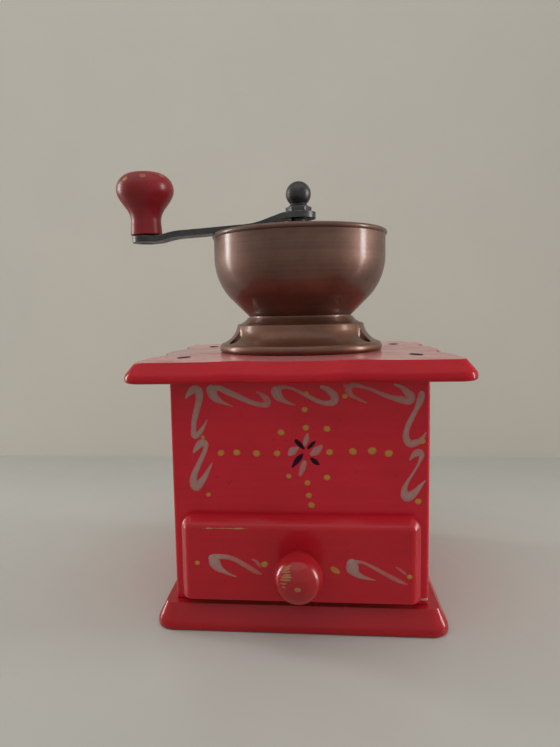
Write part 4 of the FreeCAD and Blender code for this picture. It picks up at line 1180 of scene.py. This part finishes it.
@dataclass
class FrontPainting:
    """The scroll border, the flower and the dots on the front panel."""

    paints: Paints
    level: float = -68.0
    scrolls: tuple[Stroke, ...] = (
        Stroke(((-59.1, 125.0, 0.5), (-57.2, 127.5, 1.5), (-54.3, 129.6, 2.2), (-52.1, 128.2, 2.3),
                (-52.0, 124.2, 1.9), (-53.4, 118.8, 1.7), (-54.9, 113.3, 1.5), (-55.5, 108.3, 1.4),
                (-55.3, 104.6, 1.8), (-53.3, 105.1, 1.5), (-51.0, 107.8, 1.1), (-49.1, 111.0, 0.6),
                (-48.0, 113.3, 0.2)), 0.95, 0.7),
        Stroke(((-56.1, 95.0, 0.4), (-54.3, 97.7, 1.4), (-51.7, 100.5, 2.1), (-49.3, 100.0, 1.7),
                (-49.7, 96.5, 1.2), (-51.4, 92.7, 1.3), (-53.8, 87.9, 1.5), (-55.8, 83.5, 1.7),
                (-56.5, 79.5, 2.2), (-55.2, 76.3, 2.5), (-52.6, 78.7, 2.0), (-50.2, 82.1, 1.5),
                (-47.9, 86.1, 0.9), (-45.9, 89.9, 0.2)), 0.85, 0.75),
        Stroke(((-45.3, 129.1, 2.8), (-44.4, 126.1, 2.5), (-42.0, 123.7, 1.7), (-38.6, 121.9, 0.8),
                (-33.7, 119.9, 0.2)), 1.0, 0.4),
        Stroke(((-45.1, 129.6, 2.0), (-41.4, 130.1, 1.5), (-37.5, 128.3, 1.7), (-32.6, 126.1, 1.6),
                (-27.7, 123.8, 1.4), (-22.9, 121.8, 1.3), (-18.5, 121.0, 1.4), (-15.6, 121.4, 1.8),
                (-16.3, 123.9, 1.8), (-17.9, 125.7, 1.4), (-19.9, 127.2, 0.8),
                (-21.5, 127.8, 0.2)), 0.9, 0.35),
        Stroke(((-11.1, 128.0, 2.9), (-9.9, 125.2, 2.4), (-7.3, 123.2, 1.3), (-4.4, 121.7, 0.8),
                (-0.8, 120.7, 0.2)), 0.9, 0.35),
        Stroke(((-10.8, 129.1, 2.0), (-7.2, 130.3, 1.0), (-3.8, 129.8, 0.8), (0.0, 128.2, 0.8),
                (6.2, 124.9, 1.1), (10.9, 122.6, 1.2), (15.2, 121.5, 1.4), (18.6, 122.2, 2.0),
                (19.4, 124.7, 2.1), (17.6, 127.2, 1.9), (15.3, 129.1, 1.4),
                (12.9, 130.1, 1.1)), 0.45, 0.75),
        Stroke(((26.2, 128.3, 1.8), (27.4, 126.1, 1.4), (30.0, 124.4, 0.9), (32.8, 123.0, 0.8),
                (35.9, 121.5, 0.4)), 0.5, 0.15),
        Stroke(((24.1, 131.1, 0.5), (26.2, 130.2, 1.5), (30.0, 131.0, 1.2), (34.7, 129.7, 0.9),
                (39.4, 128.0, 0.9), (44.1, 125.9, 1.2), (48.8, 124.3, 1.4), (53.4, 123.2, 1.9),
                (57.3, 122.7, 2.2), (58.0, 125.0, 2.2), (55.7, 127.4, 1.8), (52.9, 129.9, 1.0),
                (49.4, 131.2, 0.4)), 0.3, 0.8),
        Stroke(((63.4, 126.1, 1.6), (62.7, 123.0, 1.9), (60.7, 118.0, 1.2), (58.1, 112.9, 1.4),
                (56.1, 108.1, 1.4), (55.6, 103.8, 1.7), (57.2, 100.4, 2.0), (60.1, 100.5, 1.9),
                (62.9, 101.8, 1.4), (64.7, 104.3, 0.7), (65.8, 106.3, 0.2)), 0.85, 0.6),
        Stroke(((57.5, 91.4, 0.3), (59.2, 93.8, 1.2), (61.7, 95.6, 2.1), (63.5, 94.4, 1.7),
                (62.9, 91.6, 0.9), (61.1, 87.7, 0.6), (58.8, 83.8, 0.7), (56.4, 79.8, 0.9),
                (54.9, 75.8, 1.6), (55.9, 72.1, 2.8), (58.4, 72.8, 2.3), (61.2, 75.4, 1.6),
                (63.5, 78.4, 0.9), (65.9, 81.0, 0.2)), 0.6, 0.85),
    )
    petals: tuple[Stroke, ...] = (
        Stroke(((5.0, 105.2, 0.7), (4.4, 102.6, 1.5), (3.6, 100.0, 1.1)), 0.7, 0.8),
        Stroke(((-4.2, 94.9, 1.4), (-2.9, 96.2, 2.3), (-0.9, 97.5, 1.3)), 0.9, 0.8),
        Stroke(((7.3, 94.7, 1.2), (9.4, 96.2, 2.2), (11.8, 98.4, 1.2)), 0.8, 0.8),
        Stroke(((3.2, 90.0, 1.3), (2.3, 87.2, 1.6), (1.0, 83.6, 1.0)), 0.8, 0.6),
    )
    leaves: tuple[Stroke, ...] = (
        Stroke(((-0.9, 101.6, 1.1), (1.1, 99.6, 1.3), (2.9, 97.6, 0.6))),
        Stroke(((5.4, 97.9, 0.7), (7.1, 99.6, 1.1), (8.9, 101.3, 0.5))),
        Stroke(((2.7, 94.8, 0.4), (0.0, 91.9, 1.6), (-3.0, 87.8, 0.6))),
        Stroke(((7.0, 92.1, 0.8), (8.9, 90.4, 1.5), (10.7, 89.2, 0.6))),
    )
    dots: tuple[Triple, ...] = (
        (3.7, 118.3, 1.8), (4.2, 108.7, 1.9), (-8.8, 106.2, 2.0), (15.2, 108.1, 2.0),
        (-41.1, 95.1, 2.0), (-32.6, 95.4, 2.1), (-22.0, 94.9, 2.2), (-11.1, 95.0, 1.9),
        (16.4, 95.7, 2.0), (28.5, 96.1, 2.2), (38.4, 96.4, 2.4), (46.9, 95.1, 2.3), (-5.1, 82.7, 1.6),
        (15.0, 82.1, 1.9), (4.7, 79.1, 1.8), (5.4, 72.3, 1.8), (6.7, 67.0, 2.0), (-48.5, 72.2, 1.4),
        (62.0, 69.6, 1.9), (-50.6, 103.6, 1.2), (64.0, 101.5, 1.7), (24.5, 125.2, 1.6),
        (4.6, 126.9, 1.4),
    )

    def build(self) -> None:
        """Paint the front panel."""
        face = Ornament("front_painting", Face.FRONT, self.level, Body.MILL)
        face.paint_strokes("scrolls", self.scrolls, self.paints.taupe)
        face.paint_strokes("petals", self.petals, self.paints.petal)
        face.paint_strokes("leaves", self.leaves, self.paints.black)
        face.paint_dots("dots", self.dots, self.paints.mustard)


@dataclass
class DrawerPainting:
    """The two scrolls and the dots on the drawer front."""

    paints: Paints
    level: float = -77.8
    scrolls: tuple[Stroke, ...] = (
        Stroke(((-45.7, 40.8, 2.1), (-44.4, 38.3, 3.1), (-42.2, 35.4, 2.1), (-39.6, 33.8, 1.2),
                (-36.6, 32.2, 0.7), (-32.7, 30.9, 0.2)), 1.0, 0.5),
        Stroke(((-44.9, 41.6, 1.6), (-40.8, 41.9, 1.4), (-36.7, 41.4, 1.3), (-32.7, 40.0, 1.3),
                (-28.7, 37.6, 1.4), (-24.7, 35.2, 1.4), (-22.0, 33.6, 1.1),
                (-19.6, 32.6, 0.3)), 1.0, 0.0),
        Stroke(((-25.0, 40.8, 0.2), (-22.6, 39.8, 0.8), (-21.1, 38.0, 1.0),
                (-19.9, 36.3, 0.3)), 0.2, 0.1),
        Stroke(((27.2, 39.2, 2.8), (27.6, 36.6, 3.4), (29.5, 34.0, 1.9), (32.4, 32.5, 1.2),
                (35.8, 31.5, 0.7), (39.4, 30.7, 0.2)), 1.0, 0.4),
        Stroke(((27.8, 40.1, 1.3), (31.2, 40.4, 0.9), (34.5, 39.4, 0.8), (38.7, 37.3, 1.0),
                (42.9, 34.9, 1.1), (47.1, 32.6, 1.2), (51.3, 30.5, 1.1), (55.5, 28.8, 0.3)), 0.7, 0.15),
        Stroke(((49.2, 38.2, 0.2), (51.7, 36.5, 0.7), (53.8, 35.0, 0.7), (54.8, 34.2, 0.3)), 0.15, 0.1),
    )
    dots: tuple[Triple, ...] = ((-53.7, 38.2, 1.5), (-18.0, 38.1, 2.0), (56.4, 33.0, 1.5))
    smear: Stroke = Stroke(((17.4, 36.5, 1.3), (18.6, 35.7, 1.6), (19.9, 34.9, 1.2)), 0.9, 0.9)

    def build(self) -> None:
        """Paint the drawer front."""
        face = Ornament("drawer_painting", Face.FRONT, self.level, Body.DRAWER)
        face.paint_strokes("scrolls", self.scrolls, self.paints.taupe)
        face.paint_dots("dots", self.dots, self.paints.mustard)
        face.paint_strokes("smeared_dot", (self.smear,), self.paints.mustard)


@dataclass
class TopPainting:
    """A dark leaf and a scroll end near each corner of the top board."""

    paints: Paints
    level: float = 145.0
    leaf: Stroke = Stroke((
        (62.6, 41.0, 0.4), (63.0, 44.5, 2.6), (63.6, 49.0, 3.8), (64.2, 53.5, 2.6), (64.6, 57.0, 0.4),
    ))
    scroll: Stroke = Stroke(
        ((76.0, 69.5, 0.4), (72.6, 73.6, 1.2), (67.4, 75.4, 1.3), (61.5, 74.4, 0.5)), 0.8, 0.3
    )

    def corners(self, stroke: Stroke) -> list[Stroke]:
        """One stroke, mirrored to the four corners of the board.

        Args:
            stroke: The stroke at the corner where both directions are positive.

        Returns:
            The four strokes.
        """
        return [
            replace(stroke, stations=tuple((x_side * x, y_side * y, w) for x, y, w in stroke.stations))
            for x_side in (-1.0, 1.0) for y_side in (-1.0, 1.0)
        ]

    def build(self) -> None:
        """Paint the four corners."""
        face = Ornament("top_painting", Face.TOP, self.level, Body.MILL)
        face.paint_strokes("leaves", self.corners(self.leaf), self.paints.black)
        face.paint_strokes("scrolls", self.corners(self.scroll), self.paints.taupe)


@dataclass
class Dabs:
    """Small flat dabs of worn paint on a rounded surface."""

    name: str
    body: Body
    finish: Finish
    thick: float = 0.1

    def __post_init__(self) -> None:
        """Start with no paint."""
        self.shape = bmesh.new()
        self.load = self.shape.verts.layers.float.new(LOAD)

    def press(self, place: Vector, out: Vector, along: Vector, size: Pair, load: float) -> None:
        """Press one dab onto the surface.

        Args:
            place: Its middle on the surface.
            out: The direction that the surface faces.
            along: The direction of its longer way.
            size: Half its length and half its width.
            load: The amount of paint left, 0 to 1.
        """
        side = out.cross(along).normalized()
        ahead = side.cross(out)
        turn = Matrix((ahead * size[0], side * size[1], out * self.thick)).transposed().to_4x4()
        spot = Matrix.Scale(MM, 4) @ Matrix.Translation(place) @ turn
        made = bmesh.ops.create_uvsphere(self.shape, u_segments=20, v_segments=8, radius=1.0, matrix=spot)
        for vert in made["verts"]:
            vert[self.load] = load

    def close(self) -> None:
        """Make the dabs a piece."""
        bmesh.ops.recalc_face_normals(self.shape, faces=self.shape.faces[:])
        piece = new_object(self.name, self.shape, PAINT_CREASE)
        settle(piece, [self.finish], self.body)


@dataclass
class HandlePainting:
    """The ring of worn dots round the crown of the handle knob, as (turn, lean, paint left)."""

    paints: Paints
    reach: float = 96.0
    shoulder: float = 10.8
    bend_radius: float = 7.24
    bend_height: float = 246.07
    dots: tuple[Triple, ...] = (
        (-28.0, 27.3, 0.80), (11.2, 34.9, 0.42), (58.1, 43.0, 0.34), (108.0, 36.0, 0.60),
        (160.0, 33.0, 0.75), (214.0, 35.0, 0.50), (270.0, 31.0, 0.70),
    )
    size: Pair = (2.0, 1.7)

    def build(self) -> None:
        """Paint the dots, each at its turn about the knob and its lean on the shoulder."""
        dabs = Dabs("handle_painting_dots", Body.HANDLE, self.paints.worn)
        middle = Vector((-self.reach, 0.0, self.bend_height))
        for around, lean, load in self.dots:
            angle, tilt = math.radians(around), math.radians(lean)
            away = Vector((math.sin(angle), -math.cos(angle), 0.0))
            out = away * math.cos(tilt) + Vector((0.0, 0.0, math.sin(tilt)))
            place = middle + away * self.bend_radius + out * self.shoulder
            dabs.press(place, out, Vector((math.cos(angle), math.sin(angle), 0.0)), self.size, load)
        dabs.close()


@dataclass
class PullPainting:
    """What is left on the drawer pull: streaks and one dot, as (across, up, half length, paint left)."""

    paints: Paints
    face: float = -77.8
    height: float = 38.2
    dome: float = 15.0
    dome_at: float = 12.03
    ball: float = 12.4
    ball_at: float = 15.5
    edge: float = 9.0
    streaks: tuple[Mark, ...] = (
        (-5.1, 8.7, 2.7, 0.5), (-5.3, 7.9, 2.2, 0.65), (-5.4, 6.9, 2.5, 0.6), (-5.0, 5.7, 2.0, 0.5),
        (-5.2, 4.7, 2.9, 0.75), (-5.7, 3.4, 2.9, 0.6), (-6.7, 1.5, 1.7, 0.5), (-6.5, -0.2, 1.1, 0.4),
    )
    streak_way: Triple = (1.0, 0.0, 0.05)
    streak_width: float = 0.5
    dot: Mark = (0.1, -0.6, 1.5, 0.7)
    dot_way: Triple = (1.0, 0.0, 0.0)
    dot_width: float = 0.75

    def surface(self, across: float, up: float) -> tuple[Vector, Vector]:
        """The place on the pull under a point of the drawing, and the way it faces.

        Args:
            across: Distance from the axis to the right.
            up: Distance above the axis.

        Returns:
            The place and the outward direction.
        """
        away = math.hypot(across, up)
        bend, middle = (self.dome, self.dome_at) if away < self.edge else (self.ball, self.ball_at)
        centre = Vector((0.0, self.face - middle, self.height))
        out = Vector((across, -math.sqrt(bend**2 - away**2), up))
        return centre + out, out.normalized()

    def build(self) -> None:
        """Paint the streaks and the dot."""
        dabs = Dabs("pull_painting_streaks", Body.DRAWER, self.paints.worn)
        for across, up, half, load in self.streaks:
            dabs.press(*self.surface(across, up), Vector(self.streak_way), (half, self.streak_width), load)
        across, up, half, load = self.dot
        dabs.press(*self.surface(across, up), Vector(self.dot_way), (half, half * self.dot_width), load)
        dabs.close()


@dataclass(frozen=True)
class Lamp:
    """A soft box: its place, aim and size in metres, its watts, its tint and its spread in degrees."""

    name: str
    place: Triple
    power: float
    target: Triple = (0.0, 0.0, 0.17)
    size: Pair = (0.13, 0.78)
    tint: Triple = (1.0, 0.99, 0.98)
    spread: float = 50.0

    def hang(self) -> None:
        """Hang the box and point it."""
        light = bpy.data.lights.new(self.name, "AREA")
        light.shape = "RECTANGLE"
        light.size, light.size_y = self.size
        light.energy = self.power
        light.color = self.tint
        light.spread = math.radians(self.spread)
        box = bpy.data.objects.new(self.name, light)
        box.visible_camera = False
        aim = (Vector(self.target) - Vector(self.place)).to_track_quat("-Z", "Y")
        box.matrix_world = Matrix.Translation(self.place) @ aim.to_matrix().to_4x4()
        bpy.context.scene.collection.objects.link(box)


@dataclass
class Studio:
    """The pale table, the wall behind it, soft light and the camera."""

    table: StageSurface = StageSurface(
        "table_paint", (0.510, 0.516, 0.482, 1.0), (0.484, 0.489, 0.456, 1.0), 0.36
    )
    wall: StageSurface = StageSurface(
        "wall_paint", (0.705, 0.678, 0.608, 1.0), (0.670, 0.645, 0.578, 1.0), 0.75, True
    )
    wall_at: float = 310.0
    half_size: float = 3.0
    room_tint: Colour = (1.0, 0.985, 0.955, 1.0)
    room_strength: float = 0.58
    lamps: tuple[Lamp, ...] = (
        Lamp(
            "ceiling_box", (-0.25, -0.45, 2.1), 17.5, target=(0.0, -0.1, 0.1), size=(3.0, 3.0),
            tint=(1.0, 0.985, 0.96), spread=180.0,
        ),
        Lamp("left_tall_box", (-0.806, 0.195, 0.30), 0.49),
        Lamp("right_tall_box", (0.90, 0.0, 0.30), 0.62),
    )
    eye: Triple = (10.6, -378.2, 170.0)
    yaw: float = 5.7
    pitch: float = 6.0
    roll: float = -1.2
    focal: float = 600.0
    principal: Pair = (258.0, 374.0)
    picture: tuple[int, int] = (560, 747)
    sensor: float = 36.0
    nearest: float = 0.01

    def build(self) -> None:
        """Set the stage, the lights and the camera."""
        self.lay("table_top", Matrix.Identity(4), self.table)
        behind = Matrix.Translation((0.0, self.wall_at * MM, 0.0))
        self.lay("back_wall_surface", behind @ UPRIGHT, self.wall)
        self.light_room()
        for lamp in self.lamps:
            lamp.hang()
        self.stand_camera()

    def lay(self, name: str, place: Matrix, surface: StageSurface) -> None:
        """Add one large flat sheet to the stage.

        Args:
            name: The name of the sheet.
            place: Where it lies and how it is turned.
            surface: Its finish.
        """
        sheet = bmesh.new()
        bmesh.ops.create_grid(sheet, x_segments=1, y_segments=1, size=self.half_size, matrix=place)
        piece = new_object(name, sheet)
        piece.data.materials.append(surface.make())

    def light_room(self) -> None:
        """Fill the room with an even, slightly warm light."""
        world = bpy.data.worlds.new("room_light")
        world.use_nodes = True
        back = world.node_tree.nodes["Background"]
        back.inputs["Color"].default_value = self.room_tint
        back.inputs["Strength"].default_value = self.room_strength
        bpy.context.scene.world = world

    def stand_camera(self) -> None:
        """Stand the camera where the picture was taken from."""
        lens = bpy.data.cameras.new("picture_camera")
        wide, high = self.picture
        longest = max(wide, high)
        lens.sensor_width = self.sensor
        lens.lens = self.focal * lens.sensor_width / longest
        lens.shift_x = (wide / 2 - self.principal[0]) / longest
        lens.shift_y = (self.principal[1] - high / 2) / longest
        lens.clip_start = self.nearest
        camera = bpy.data.objects.new("picture_camera", lens)
        turn = Matrix.Rotation(math.radians(self.yaw), 4, "Z")
        tilt = Matrix.Rotation(math.radians(90.0 - self.pitch), 4, "X")
        lean = Matrix.Rotation(math.radians(self.roll), 4, "Z")
        camera.matrix_world = Matrix.Translation(Vector(self.eye) * MM) @ turn @ tilt @ lean
        bpy.context.scene.collection.objects.link(camera)
        bpy.context.scene.camera = camera


def main() -> None:
    """Build the mill, its painting and the studio."""
    logging.basicConfig(level=logging.INFO, format="%(message)s")
    bpy.context.scene.view_settings.view_transform = "Standard"
    paints = Paints()
    kinds = (
        Casework, DrawerBox, Hopper, GrindWork, Crank,
        FrontPainting, DrawerPainting, TopPainting, HandlePainting, PullPainting,
    )
    for part in [kind(paints) for kind in kinds] + [Studio()]:
        log.info("building %s", type(part).__name__)
        part.build()


if __name__ == "__main__":
    main()
